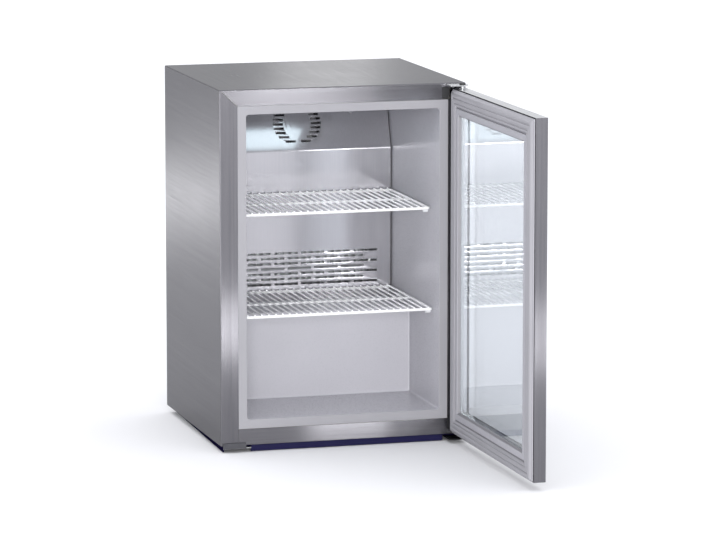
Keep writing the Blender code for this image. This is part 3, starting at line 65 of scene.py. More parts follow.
# %% Camera
AIM = Vector((0.0246, 0.0063, 0.2995))
SIDEWAYS = math.radians(15.98)
ABOVE = math.radians(9.10)
DISTANCE = 7.246
SENSOR_MM = 36.0
LENS_MM = 218.07
FARTHEST = 200.0

towards_camera = Vector((-math.sin(SIDEWAYS) * math.cos(ABOVE),
                         -math.cos(SIDEWAYS) * math.cos(ABOVE),
                         math.sin(ABOVE)))
bpy.ops.object.camera_add(location=AIM + towards_camera * DISTANCE)
camera = bpy.context.object
camera.rotation_euler = (-towards_camera).to_track_quat("-Z", "Y").to_euler()
camera.data.sensor_width = SENSOR_MM
camera.data.lens = LENS_MM
camera.data.clip_end = FARTHEST
bpy.context.scene.camera = camera
print("camera at", [round(v, 3) for v in camera.location])

# %% [markdown]
# ## Colours and nodes
#
# Colours are written as the hex values that a screen shows. Shaders work with linear light, so one function
# converts them. A second function adds a node, sets its properties, and fills or links its sockets. Nodes
# could also be drawn by hand in the editor, but code keeps every finish in one place where it can be read.

# %% Helpers for colours and nodes
def hex_colour(text):
    """A screen colour such as #c0c0c5 as linear red, green, blue and alpha."""
    levels = [int(text[i:i + 2], 16) / 255 for i in (1, 3, 5)]
    linear = [v / 12.92 if v <= 0.04045 else ((v + 0.055) / 1.055) ** 2.4 for v in levels]
    return (*linear, 1.0)


def add_node(skin, kind, sockets, **settings):
    """Add a node; a socket's value is either a number or colour to set, or an output to link."""
    new = skin.node_tree.nodes.new(kind)
    for name, value in settings.items():
        setattr(new, name, value)
    for name, value in sockets.items():
        if isinstance(value, bpy.types.NodeSocket):
            skin.node_tree.links.new(value, new.inputs[name])
        else:
            new.inputs[name].default_value = value
    return new


print("mid grey in linear light:", [round(v, 3) for v in hex_colour("#808080")])

# %% [markdown]
# A finish is a material with one shader. What is the same all over is set on the shader itself, and what
# changes from place to place is joined to it. Patterns are laid out in the object's own coordinates, which
# are metres, so a size in millimetres gives the scale of a texture. Noise rarely reaches 0 or 1: most of it
# lies between 0.3 and 0.7, and stretching that part gives the full contrast.

# %% Helpers for finishes
NOISE_SPAN = {"From Min": 0.3, "From Max": 0.7}


def new_finish(name, **sockets):
    """A material with its shader's constant sockets set: names use _ where the socket has a space."""
    skin = bpy.data.materials.new(name)
    skin.use_nodes = True
    shader = skin.node_tree.nodes["Principled BSDF"]
    for socket, value in sockets.items():
        shader.inputs[socket.replace("_", " ")].default_value = value
    place = add_node(skin, "ShaderNodeTexCoord", {}).outputs["Object"]
    return skin, shader, place


def join(skin, shader, **outputs):
    """Join outputs to the shader's sockets, named as above."""
    for socket, output in outputs.items():
        skin.node_tree.links.new(output, shader.inputs[socket.replace("_", " ")])


def per_mm(size):
    """The texture scale that gives a feature of this many millimetres."""
    return 1000.0 / size


print("a 5 mm pattern has scale", per_mm(5.0))

# %% [markdown]
# ## Brushed stainless steel
#
# The case and the door frame are stainless sheet that was ground with a belt. The belt leaves fine parallel
# scratches, so reflections smear across the grain. Bump alone could do that only with very fine lines, so
# the shader's own anisotropy stretches the highlight, and its tangent points across the scratches. The grain
# follows the length of each folded strip, which needs one finish for each of the three directions; the
# upright one also has a darker grey, which is painted shade. Real scratches are about 0.1 mm wide, too fine
# to show, so they are drawn 1.2 mm wide. Streaks of 5 mm show how they bunch together.

# %% Direction and lines of the grain
SCRATCH_MM = (1.2, 90.0)
STREAK_MM = (5.0, 420.0)


def across_grain(skin, along):
    """The direction across the grain on every face, for the shader's tangent."""
    grain = [0.0, 0.0, 0.0]
    grain[along] = 1.0
    turned = add_node(skin, "ShaderNodeVectorTransform", {"Vector": grain},
                      vector_type="VECTOR", convert_from="OBJECT", convert_to="WORLD")
    normal = add_node(skin, "ShaderNodeNewGeometry", {}).outputs["Normal"]
    across = add_node(skin, "ShaderNodeVectorMath", {0: normal, 1: turned.outputs[0]},
                      operation="CROSS_PRODUCT")
    return across.outputs[0]


def grain_lines(skin, place, size, along, detail, roughness):
    """Noise drawn out along the grain, from (width, length) in millimetres."""
    scale = [per_mm(size[0])] * 3
    scale[along] = per_mm(size[1])
    drawn = add_node(skin, "ShaderNodeMapping", {"Vector": place, "Scale": scale})
    lines = add_node(skin, "ShaderNodeTexNoise",
                     {"Vector": drawn.outputs[0], "Scale": 1.0, "Detail": detail, "Roughness": roughness})
    return lines.outputs[0]


print("width and length in mm: scratches", SCRATCH_MM, "streaks", STREAK_MM)

# %% Brushed steel
STEEL_CLOUD_MM = 160.0
STREAK_SHARE = 0.6
BUMP_DEPTH = 0.0002


def brushed_steel(name, along, dark="#6c6b6f", light="#807f83"):
    """Ground sheet; its grain runs left to right (0), front to back (1) or upright (2)."""
    skin, shader, place = new_finish(
        name, Metallic=1.0, Specular_Tint=hex_colour("#c5c5c5"), Anisotropic=0.85)
    scratches = grain_lines(skin, place, SCRATCH_MM, along, 4.0, 0.6)
    streaks = grain_lines(skin, place, STREAK_MM, along, 5.0, 0.65)
    clouds = add_node(skin, "ShaderNodeTexNoise",
                      {"Vector": place, "Scale": per_mm(STEEL_CLOUD_MM), "Detail": 2.0})
    tone = add_node(skin, "ShaderNodeMix", {0: STREAK_SHARE, 2: scratches, 3: streaks})
    spread = add_node(skin, "ShaderNodeMapRange", {**NOISE_SPAN, "Value": tone.outputs[0]})
    colour = add_node(skin, "ShaderNodeMix",
                      {0: spread.outputs[0], 6: hex_colour(dark), 7: hex_colour(light)}, data_type="RGBA")
    rough = add_node(skin, "ShaderNodeMapRange",
                     {**NOISE_SPAN, "Value": scratches, "To Min": 0.21, "To Max": 0.27})
    worn = add_node(skin, "ShaderNodeMapRange",
                    {**NOISE_SPAN, "Value": clouds.outputs[0], "To Min": -0.012, "To Max": 0.012})
    level = add_node(skin, "ShaderNodeMath", {0: rough.outputs[0], 1: worn.outputs[0]}, operation="ADD")
    bump = add_node(skin, "ShaderNodeBump", {"Height": scratches, "Strength": 0.10, "Distance": BUMP_DEPTH})
    join(skin, shader, Tangent=across_grain(skin, along), Base_Color=colour.outputs[2],
         Roughness=level.outputs[0], Normal=bump.outputs[0])
    return skin


# The eye gets grey bands that smear up and down: the top strip of the front and the bottom rail.
steel_across = brushed_steel("brushed_stainless_grain_across", 0)
# Bands that smear across strips that run back: the sides, the top, and the rails of the open door.
steel_deep = brushed_steel("brushed_stainless_grain_front_to_back", 1)
# Bands that smear sideways: the upright strips of the front and the door. Their slightly darker grey is
# painted shade on the same steel.
steel_upright_shaded = brushed_steel("brushed_stainless_grain_upright_painted_shade", 2, "#67666a", "#7a797d")
print("made", [skin.name for skin in (steel_across, steel_deep, steel_upright_shaded)])

# %% [markdown]
# ## Galvanised sheet
#
# The rear panel and the compressor's niche are zinc-dipped sheet. The zinc sets in flat crystals, called
# spangle, about 8 mm across. A noise would blur them together, so a Voronoi texture draws cells with hard
# borders, and each cell gets its own tone and gloss.

# %% Galvanised sheet
def cell_metal(name, dark, light, size, rough, change=0.07):
    """Sheet with crystals of a given size in millimetres, whose roughness changes from cell to cell."""
    skin, shader, place = new_finish(name, Metallic=1.0)
    cells = add_node(skin, "ShaderNodeTexVoronoi", {"Vector": place, "Scale": per_mm(size)})
    tone = add_node(skin, "ShaderNodeSeparateColor", {"Color": cells.outputs["Color"]})
    colour = add_node(skin, "ShaderNodeMix",
                      {0: tone.outputs[0], 6: hex_colour(dark), 7: hex_colour(light)}, data_type="RGBA")
    gloss = add_node(skin, "ShaderNodeMapRange",
                     {"Value": tone.outputs[1], "To Min": rough - change, "To Max": rough + change})
    join(skin, shader, Base_Color=colour.outputs[2], Roughness=gloss.outputs[0])
    return skin


# Pale zinc flowers, some bright and some dull.
galvanised = cell_metal("galvanised_spangle_sheet", "#989c9e", "#b2b6b7", 8.0, 0.42)
print("made", galvanised.name)

# %% [markdown]
# ## Other metals
#
# The remaining metals were rolled, drawn, plated or blackened. They differ in colour and gloss, and all of
# them have soft patches of a second tone, so one recipe serves for all. Stretching the patches along one
# axis turns them into rolling or drawing lines, and bump from the same patches breaks up the shine.

# %% Recipe for drawn and plated metals
SHINIER, DULLER = 0.05, 0.06
PATCH_DEPTH = 0.0003
UPRIGHT_LINES = (1.0, 1.0, 0.2)


def drawn_metal(name, dark, light, size, rough, stretch=(1.0, 1.0, 1.0), strength=0.05, metal=1.0):
    """Metal with soft patches of so many millimetres; a small stretch draws them out along that axis."""
    skin, shader, place = new_finish(name, Metallic=metal)
    drawn = add_node(skin, "ShaderNodeMapping", {"Vector": place, "Scale": stretch})
    patch = add_node(skin, "ShaderNodeTexNoise",
                     {"Vector": drawn.outputs[0], "Scale": per_mm(size), "Detail": 4.0})
    colour = add_node(skin, "ShaderNodeMix",
                      {0: patch.outputs[0], 6: hex_colour(dark), 7: hex_colour(light)}, data_type="RGBA")
    gloss = add_node(skin, "ShaderNodeMapRange",
                     {**NOISE_SPAN, "Value": patch.outputs[0],
                      "To Min": rough - SHINIER, "To Max": rough + DULLER})
    bump = add_node(skin, "ShaderNodeBump",
                    {"Height": patch.outputs[0], "Strength": strength, "Distance": PATCH_DEPTH})
    join(skin, shader, Base_Color=colour.outputs[2], Roughness=gloss.outputs[0], Normal=bump.outputs[0])
    return skin


print("patches are stretched by", UPRIGHT_LINES, "for upright lines")

# %% Drawn and plated metals
# Almost a mirror, with faint upright rolling lines: the cover of the evaporator.
bright_aluminium = drawn_metal("rolled_bright_aluminium", "#acabb0", "#b9b8bd", 2.0, 0.14,
                               (1.0, 1.0, 0.02), 0.03, 0.7)
# Whitish grey and half dull, as it leaves the mill: fins and tube of the evaporator.
mill_aluminium = drawn_metal("mill_finish_aluminium", "#b5b7ba", "#cfd1d3", 6.0, 0.33, UPRIGHT_LINES)
# A clean pale bar between the panes.
bright_spacer = drawn_metal("anodised_spacer_bar", "#dfe0e2", "#ededee", 4.0, 0.20, UPRIGHT_LINES, 0.05, 0.95)
# Bright silver with soft patches: hinge plate, screws and clips.
zinc_plate = drawn_metal("zinc_plated_steel", "#b4b5b6", "#d0d1d2", 5.0, 0.25)
# A light, even grey on the top faces of the door frame: a painted highlight on the same steel. It has almost
# no bump, which would speckle from low down.
door_top_highlight = drawn_metal("door_top_painted_highlight", "#bcbdbe", "#cbcccd", 5.0, 0.30, (1.0, 0.05, 1.0), 0.01)
# Black with a satin shine: the lower hinge bracket.
black_steel = drawn_metal("blackened_steel", "#1c1c1e", "#2b2b2e", 6.0, 0.42)
# Dark grey with a satin shine: the stop at the front corner.
grey_steel = drawn_metal("passivated_grey_steel", "#4b4b4f", "#5d5d61", 6.0, 0.40)
# Warm red that darkens in patches: the pipes.
copper = drawn_metal("drawn_copper_tube", "#8a4b30", "#c2744c", 14.0, 0.28)
print("materials so far:", len(bpy.data.materials))

# %% [markdown]
# ## Plastics, rubber and coatings
#
# Moulded plastic takes its grain from the mould, so a fine bump breaks up its shine, and large soft clouds
# keep the colour from looking computed. The same recipe gives rubber, powder coating and stove enamel: only
# the colour, the gloss and the grain change. Real mould grain is about 0.1 mm, too fine to show, so it is
# drawn 1 to 3 mm wide.

# %% Recipe for plastics and coatings
PLASTIC_CLOUD_MM = 90.0
GLOSS_CHANGE = 0.05


def moulded(name, dark, light, grain, rough, strength=0.12, **sockets):
    """A non-metal with a mould grain of so many millimetres and faint clouds of tone."""
    skin, shader, place = new_finish(name, **sockets)
    pits = add_node(skin, "ShaderNodeTexNoise", {"Vector": place, "Scale": per_mm(grain), "Detail": 3.0})
    clouds = add_node(skin, "ShaderNodeTexNoise",
                      {"Vector": place, "Scale": per_mm(PLASTIC_CLOUD_MM), "Detail": 3.0})
    colour = add_node(skin, "ShaderNodeMix",
                      {0: clouds.outputs[0], 6: hex_colour(dark), 7: hex_colour(light)}, data_type="RGBA")
    gloss = add_node(skin, "ShaderNodeMapRange",
                     {**NOISE_SPAN, "Value": pits.outputs[0],
                      "To Min": rough - GLOSS_CHANGE, "To Max": rough + GLOSS_CHANGE})
    bump = add_node(skin, "ShaderNodeBump",
                    {"Height": pits.outputs[0], "Strength": strength, "Distance": BUMP_DEPTH})
    join(skin, shader, Base_Color=colour.outputs[2], Roughness=gloss.outputs[0], Normal=bump.outputs[0])
    return skin


print("clouds of tone in plastics:", PLASTIC_CLOUD_MM, "mm")

# %% Grey plastics
# A smooth, half-glossy light grey: the liner.
liner_grey = moulded("vacuum_formed_polystyrene", "#aeadb3", "#b7b6bc", 1.6, 0.30, 0.08)
# The liner's cut front edge is duller, and a little darker as painted shade.
flange_grey_shaded = moulded("trimmed_polystyrene_edge_painted_shade", "#8d8c91", "#969599", 1.6, 0.42)
# An even satin grey: the inner frame of the door.
door_grey = moulded("extruded_pvc_frame", "#a09fa5", "#a9a8ae", 1.2, 0.42)
# Soft and nearly matt, so that its ribs show by shade alone: the seal.
gasket_grey = moulded("soft_pvc_gasket", "#939297", "#9e9da2", 2.0, 0.55, Specular_IOR_Level=0.35)
# A darker matt line round the glass.
wedge_grey = moulded("grey_glazing_rubber", "#838287", "#8d8c91", 1.5, 0.5)
# A plain mid grey: the thermostat's knob.
grey_plastic = moulded("grey_abs", "#77767b", "#828186", 1.2, 0.42)
print("materials with the greys:", len(bpy.data.materials))

# %% White, black and navy finishes
# Clean white with a satin shine: the control box, pegs and bushes.
white_plastic = moulded("white_abs", "#dedfe1", "#e8e9eb", 1.2, 0.38)
# Near black with a broken shine: the hinge block, the grip, the boxes at the back and the fan.
black_plastic = moulded("black_abs", "#131315", "#1d1d20", 1.0, 0.48)
# Deep blue with little shine: the strip at the foot of the front.
navy_plastic = moulded("navy_polypropylene", "#0a0832", "#0f0c3a", 1.4, 0.40, Specular_IOR_Level=0.2)
# The base pan is nearly black. It has no shine, which at a low angle would turn it grey.
dusk_plastic = moulded("navy_black_polypropylene", "#0d0b20", "#130f2e", 1.4, 0.80, Specular_IOR_Level=0.0)
# Matt black: feet, grommets and the bead of sealant.
rubber = moulded("moulded_rubber", "#111112", "#1b1b1c", 1.5, 0.70)
# Bright white under a thin clear gloss: the shelves' wires.
white_coat = moulded("white_epoxy_coating", "#eceded", "#f5f5f5", 2.5, 0.30, 0.08, Coat_Weight=0.3)
# Black with a soft gloss: compressor and condenser.
black_enamel = moulded("black_stove_enamel", "#0d0d0f", "#18181b", 3.0, 0.33, 0.10)
# Chalky white tape that the outer pane is bedded on, behind the lip of the door frame.
tape_white = moulded("closed_cell_glazing_tape", "#d9dadd", "#e4e5e7", 0.8, 0.75, 0.2)
# Rough pale cream, seen only through narrow slits.
foam = moulded("polyurethane_foam", "#b9b5a8", "#c6c2b6", 1.5, 0.90, 0.6)
print("materials with all plastics:", len(bpy.data.materials))

# %% [markdown]
# ## Glass and the lamp
#
# The door has two panes of clear float glass. A transparent shader would let light through without bending
# it, so a transmitting one with the index of glass is used; its faint tint comes from a base colour just off
# white, and clean glass needs no texture. The ceiling lamp has a frosted cover that glows with a cool white.
# Real frosting is far finer than 0.8 mm, and is drawn that coarse to show at all.

# %% Glass and lamp
FROST_MM = 0.8
# Clear, with sharp reflections.
glass = new_finish("float_glass", Base_Color=hex_colour("#f4f7f9"), Roughness=0.0,
                   Transmission_Weight=1.0, IOR=1.5)[0]
# An even glow, softened by the frosting.
lamp, lamp_shader, lamp_place = new_finish(
    "frosted_polycarbonate", Base_Color=hex_colour("#f2f6f7"), Roughness=0.5,
    Emission_Color=hex_colour("#e6fbff"), Emission_Strength=2.2)
frosting = add_node(lamp, "ShaderNodeTexNoise",
                    {"Vector": lamp_place, "Scale": per_mm(FROST_MM), "Detail": 2.0})
frosted = add_node(lamp, "ShaderNodeBump",
                   {"Height": frosting.outputs[0], "Strength": 0.2, "Distance": BUMP_DEPTH})
join(lamp, lamp_shader, Normal=frosted.outputs[0])
print("materials in all:", len(bpy.data.materials))

# %% [markdown]
# ## Ways to work on a piece
#
# Operators act on what is selected, so each job starts by selecting nothing. By hand one would click on
# faces; in code they are chosen by where they are or which way they look, which gives the same faces on
# every run.

# %% Selecting
def pick(*pieces):
    """Select only these objects; the last one is active."""
    if bpy.context.object and bpy.context.object.mode != "OBJECT":
        bpy.ops.object.mode_set(mode="OBJECT")
    bpy.ops.object.select_all(action="DESELECT")
    for piece in pieces:
        piece.select_set(True)
        bpy.context.view_layer.objects.active = piece


def choose(piece, test):
    """In edit mode, select the faces for which test(middle, direction) is true."""
    pick(piece)
    bpy.ops.object.mode_set(mode="EDIT")
    bpy.ops.mesh.select_mode(type="FACE")
    bpy.ops.mesh.select_all(action="DESELECT")
    shape = bmesh.from_edit_mesh(piece.data)
    for face in shape.faces:
        face.select_set(test(face.calc_center_median(), face.normal))
    shape.select_flush_mode()
    bmesh.update_edit_mesh(piece.data)


def apply_place(piece):
    """Move a piece's place, turn and scale into its mesh."""
    pick(piece)
    bpy.ops.object.transform_apply(location=True, rotation=True, scale=True)


# %% [markdown]
# When a piece is done, its place is applied to its mesh, its curves are smoothed while its flats stay flat,
# and it is tied to the body that it moves with. The record says which body each solid moves with, so a copy
# of a solid can look it up.

# %% Finishing a piece
SMOOTH = 35.0     # edges that turn by fewer degrees are shaded smooth
body_of_node = {node: body for body, nodes in frame["record"]["behaviour"]["bodies"].items() for node in nodes}


def add_modifier(piece, kind, **settings):
    """Add a modifier, set it and apply it at once."""
    pick(piece)
    step = piece.modifiers.new(kind.lower(), kind)
    for name, value in settings.items():
        setattr(step, name, value)
    bpy.ops.object.modifier_apply(modifier=step.name)


def even_normals(piece):
    """Let large flat faces set the shading, so that bevels don't bend the light on them."""
    add_modifier(piece, "WEIGHTED_NORMAL", mode="FACE_AREA", weight=100, keep_sharp=True)


def settle(piece, name, body, skin, angle=SMOOTH):
    """Apply a piece's place, smooth its curves, give it a finish and tie it to a body."""
    apply_place(piece)
    bpy.ops.object.shade_smooth_by_angle(angle=math.radians(angle))
    even_normals(piece)
    piece.name = name
    piece.data.name = name
    piece.data.materials.clear()
    piece.data.materials.append(skin)
    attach(piece, body)
    return piece


print("bodies:", sorted(set(body_of_node.values())))

# %% [markdown]
# ## Rounding the solids
#
# Folded sheet and mouldings never have perfectly sharp edges, and a thin bright line along an edge is what
# makes a surface look real. Modelling every edge again would take long, so each solid is copied, its loose
# triangles are welded, flat faces are joined, and a small bevel rounds the sharp edges. The copy then stands
# for the solid. A piece that is round already gets no bevel.

# %% Rounded copies of the solids
WELD = 0.00002
FLAT_WITHIN = math.radians(0.6)
SHARP_ABOVE = math.radians(40.0)


def rounded_copy(node, width, skin, angle=SMOOTH, segments=2):
    """A copy of a solid with bevelled edges, which stands for the solid."""
    source = frame["nodes"][node]
    piece = bpy.data.objects.new(node + "_finish", source.data.copy())
    bpy.context.scene.collection.objects.link(piece)
    pick(piece)
    bpy.ops.object.mode_set(mode="EDIT")
    bpy.ops.mesh.select_all(action="SELECT")
    bpy.ops.mesh.remove_doubles(threshold=WELD)
    if width:
        bpy.ops.mesh.dissolve_limited(angle_limit=FLAT_WITHIN)
    bpy.ops.object.mode_set(mode="OBJECT")
    if width:
        add_modifier(piece, "BEVEL", width=width, segments=segments, limit_method="ANGLE",
                     angle_limit=SHARP_ABOVE, use_clamp_overlap=True, harden_normals=False)
    settle(piece, node + "_finish", body_of_node[node], skin, angle)
    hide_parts(node)
    return piece


print("edges above", round(math.degrees(SHARP_ABOVE)), "degrees are rounded")

# %% Which solids are rounded: node, bevel width, finish
ROUND_SMOOTH = 60.0     # the same for round pieces
CORNERS = ("front_left", "front_right", "rear_left", "rear_right")
ROUNDED = [
    ("front_bottom_rail", 0.0004, steel_across), ("inner_liner", 0.0006, liner_grey),
    ("evaporator_cover", 0.0, bright_aluminium), ("base_pan", 0.0005, dusk_plastic),
    ("plinth_strip", 0.0005, navy_plastic), ("top_hinge_bracket", 0.0004, zinc_plate),
    ("bottom_hinge_bracket", 0.0004, black_steel), ("corner_stop", 0.0004, grey_steel),
    ("hinge_block", 0.0008, black_plastic), ("control_housing", 0.0008, white_plastic),
    ("lamp_diffuser", 0.0006, lamp), ("thermostat_knob", 0.0006, grey_plastic),
    ("light_switch", 0.0004, black_plastic), ("door_inner_frame", 0.0005, door_grey),
    ("grip_cup", 0.0004, black_plastic), ("outer_pane", 0.0004, glass), ("inner_pane", 0.0004, glass),
    ("rear_panel", 0.0002, galvanised), ("niche_liner", 0.0003, galvanised),
    ("compressor", 0.0, black_enamel), ("starter_box", 0.0015, black_plastic),
    ("drain_pan", 0.0004, black_plastic), ("power_inlet", 0.0008, black_plastic),
    ("condenser_tube", 0.0, black_enamel), ("condenser_wires", 0.0, black_enamel),
    ("condenser_hanger", 0.0, black_enamel),
    ("discharge_pipe", 0.0, copper), ("liquid_pipe", 0.0, copper), ("suction_pipe", 0.0, copper),
    ("filter_drier", 0.0, copper), ("fan_housing", 0.0004, black_plastic), ("fan_blade", 0.0, black_plastic),
]
for corner in CORNERS:
    ROUNDED.append(("foot_" + corner, 0.0008, rubber))
    ROUNDED.append(("grommet_" + corner, 0.0008, rubber))
    ROUNDED.append(("upper_shelf_peg_" + corner, 0.0006, white_plastic))
    ROUNDED.append(("lower_shelf_peg_" + corner, 0.0006, white_plastic))
for node, width, skin in ROUNDED:
    rounded_copy(node, width, skin, SMOOTH if width else ROUND_SMOOTH)
print("rounded copies:", len(ROUNDED))

# %% [markdown]
# ## The steel of the cabinet
#
# The case is one folded sheet whose front edge is turned in to make a bezel. Its grain runs along each strip,
# so it needs three finishes. The bezel is one flat face that runs round the corners, so it is first cut along
# the mitres, as on the real sheet. A texture could fake the mitre, but real faces keep it sharp. The faces
# are then chosen by place and given the finish that fits their strip.

# %% Cutting faces and giving them another finish
def assign(piece, skin, test):
    """Give the chosen faces another finish."""
    piece.data.materials.append(skin)
    choose(piece, test)
    piece.active_material_index = len(piece.data.materials) - 1
    bpy.ops.object.material_slot_assign()
    bpy.ops.object.mode_set(mode="OBJECT")


def mitre(piece, corner, across, test):
    """Cut the chosen faces along a line through a corner; across points across the cut."""
    choose(piece, test)
    bpy.ops.mesh.bisect(plane_co=corner, plane_no=across)
    bpy.ops.object.mode_set(mode="OBJECT")


LOW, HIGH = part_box("outer_wrapper")
FRONT = LOW.y
print("wrapper from", [round(v, 4) for v in LOW], "to", [round(v, 4) for v in HIGH])

# %% Cabinet wrapper
FOLD = 0.004             # depth of the folded bezel
TOP_STRIP = 0.026        # height of its top strip
TOP_STRIP_END = 0.19     # beyond this to either side a stile begins
MOSTLY = 0.5             # a normal with more than this along an axis looks mostly that way
STRAIGHT = 0.9           # and with more than this almost exactly that way


def on_bezel(at, way):
    """Faces of the folded front."""
    return at.y < FRONT + FOLD and abs(way.y) > MOSTLY


def on_top_strip(at, way):
    """Faces of the folded front between the mitres."""
    return on_bezel(at, way) and HIGH.z - at.z < TOP_STRIP and abs(at.x) < TOP_STRIP_END


wrapper = rounded_copy("outer_wrapper", 0.0003, steel_deep, segments=3)
for x, slope in ((LOW.x, 1.0), (HIGH.x, -1.0)):
    mitre(wrapper, (x, FRONT, HIGH.z), (1.0, 0.0, slope), on_bezel)
# The bezel's upright strips get the darker copy of the steel, which is painted shade.
assign(wrapper, steel_upright_shaded, on_bezel)
assign(wrapper, steel_across, on_top_strip)
even_normals(wrapper)
print("wrapper:", len(wrapper.data.polygons), "faces")

# %% [markdown]
# ## The steel of the door
#
# The door has a steel frame with four mitred strips. It is finished in the same way as the cabinet: cut at
# the corners, then one grain for the stiles and another for the rails. Its top faces get a lighter grey, which
# is a painted highlight, and the back of its lip holds the tape behind the outer pane.

# %% Door frame
DOOR_LOW, DOOR_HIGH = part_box("door_frame")
RAIL_BAND = 0.03     # rails lie within this of the door's top and bottom
STILE_BAND = 0.04    # and leave this much to the stiles
TOP_HIGHLIGHT_BAND = 0.001     # thickness of the bright strip on top
LIP_BAND = 0.010     # the lip lies within this of the outer side


def on_rail(at, way):
    """Faces of the two rails between the mitres."""
    near_end = DOOR_HIGH.z - at.z < RAIL_BAND or at.z - DOOR_LOW.z < RAIL_BAND
    return near_end and DOOR_LOW.y + STILE_BAND < at.y < DOOR_HIGH.y - STILE_BAND


# The door frame starts with the darker copy of the steel, which is painted shade on its stiles.
door_steel = rounded_copy("door_frame", 0.0006, steel_upright_shaded, segments=3)
for y, z, slope in ((DOOR_LOW.y, DOOR_HIGH.z, 1.0), (DOOR_HIGH.y, DOOR_HIGH.z, -1.0),
                    (DOOR_LOW.y, DOOR_LOW.z, -1.0), (DOOR_HIGH.y, DOOR_LOW.z, 1.0)):
    mitre(door_steel, (DOOR_LOW.x, y, z), (0.0, 1.0, slope), lambda at, way: abs(way.x) > MOSTLY)
assign(door_steel, steel_deep, on_rail)
# The top faces get a lighter grey: a painted highlight.
assign(door_steel, door_top_highlight, lambda at, way: way.z > STRAIGHT and at.z > DOOR_HIGH.z - TOP_HIGHLIGHT_BAND)
assign(door_steel, tape_white, lambda at, way: way.x < -MOSTLY and at.x > DOOR_HIGH.x - LIP_BAND)
even_normals(door_steel)
print("door frame:", len(door_steel.data.polygons), "faces")

# %% [markdown]
# ## Two-tone pieces and hidden solids
#
# The liner's front flange is a cut edge and looks duller than its walls; its darker grey is painted shade.
# The corner stop's ledge gets a bright finish, which is a painted highlight. Cutting them into more pieces
# would leave seams, so a few faces get a second finish instead. Some solids are good as they are, since
# little or nothing of them shows; they keep their shape and only get a material.

# %% Second finishes, and finishes of the solids that stay
FLANGE = 0.0015          # thickness of the liner's flange
FACING_FRONT = -0.8      # a normal below this looks to the front
STOP_HIGHLIGHT_LEDGE = 0.0025      # height of the stop's ledge
LEANING_FRONT = -0.3     # a normal below this leans to the front
STOP_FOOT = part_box("corner_stop")[0].z
# The front flange gets a darker grey: painted shade.
assign(bpy.data.objects["inner_liner_finish"], flange_grey_shaded,
       lambda at, way: at.y < FRONT + FLANGE and way.y < FACING_FRONT)
# The stop's ledge gets the bright plated finish, which is a painted highlight on the grey steel.
assign(bpy.data.objects["corner_stop_finish"], zinc_plate,
       lambda at, way: at.z < STOP_FOOT + STOP_HIGHLIGHT_LEDGE and way.y < LEANING_FRONT)
STAYING = (("insulation_foam", foam), ("evaporator_fins", mill_aluminium),
           ("evaporator_tube", mill_aluminium), ("pane_spacer", bright_spacer), ("fan_motor", black_plastic),
           ("hinge_bush_top", white_plastic), ("hinge_bush_bottom", white_plastic))
for node, skin in STAYING:
    frame["nodes"][node].material_slots[0].material = skin
print("solids that stay:", len(STAYING))

# %% [markdown]
# ## Rings for the door
#
# Three pieces run round the door: the seal, a bead of sealant and a rubber wedge. Each is a long strip that
# is mitred at the corners. A profile could be swept along a path, but the corners would need care. A face that
# is inset again and again, each time a little higher or lower, grows exactly such a mitred profile. It is
# made lying flat, its middle is deleted, and the two open edges are bridged to close the underside. Then it
# is stood up and swung open with the door.

# %% Helpers for the rings
MM = 0.001
hinge = next(joint for joint in frame["joints"] if joint["name"] == "door_hinge")
PIN = Vector(hinge["pos_m"])
DOOR_ANGLE = math.radians(90.5)
MIDDLE_X = (LOW.x + HIGH.x) / 2
DOOR_WIDTH = HIGH.x - LOW.x
DOOR_HEIGHT = DOOR_HIGH.z - DOOR_LOW.z
DOOR_MIDDLE = (DOOR_HIGH.z + DOOR_LOW.z) / 2
swing = Matrix.Translation(PIN) @ Matrix.Rotation(DOOR_ANGLE, 4, "Z") @ Matrix.Translation(-PIN)


def door_ring(margin, steps):
    """A mitred ring, this much smaller than the door; each step is (inwards, upwards) in millimetres."""
    bpy.ops.object.select_all(action="DESELECT")
    bpy.ops.mesh.primitive_plane_add(size=1.0)
    ring = bpy.context.object
    ring.scale = (DOOR_WIDTH - margin, DOOR_HEIGHT - margin, 1.0)
    apply_place(ring)
    bpy.ops.object.mode_set(mode="EDIT")
    bpy.ops.mesh.select_mode(type="FACE")
    bpy.ops.mesh.select_all(action="SELECT")
    for inwards, upwards in steps:
        bpy.ops.mesh.inset(thickness=inwards * MM, depth=upwards * MM, use_even_offset=True)
    bpy.ops.mesh.delete(type="FACE")
    bpy.ops.mesh.select_mode(type="EDGE")
    bpy.ops.mesh.select_non_manifold()
    bpy.ops.mesh.bridge_edge_loops()
    bpy.ops.mesh.select_all(action="SELECT")
    bpy.ops.mesh.normals_make_consistent(inside=False)
    bpy.ops.object.mode_set(mode="OBJECT")
    return ring


def stand_in_door(piece, depth):
    """Stand a flat piece up in the shut door and swing it open; a depth below 0 is before the cabinet."""
    upright = (Matrix.Translation((MIDDLE_X, FRONT + depth, DOOR_MIDDLE))
               @ Matrix.Rotation(-math.pi / 2, 4, "X"))
    piece.matrix_world = swing @ upright @ piece.matrix_world


print("door:", round(DOOR_WIDTH, 4), "x", round(DOOR_HEIGHT, 4), "m, pin at", [round(v, 4) for v in PIN])

# %% [markdown]
# ## The door gasket
#
# The seal is a soft extrusion with three rolled ribs that press on the cabinet. A plain flat ring would be
# quicker, but the shade in its grooves is what shows beside the glass. The list gives its profile from the
# outside inwards: up over a rib, down into a groove, and up again.

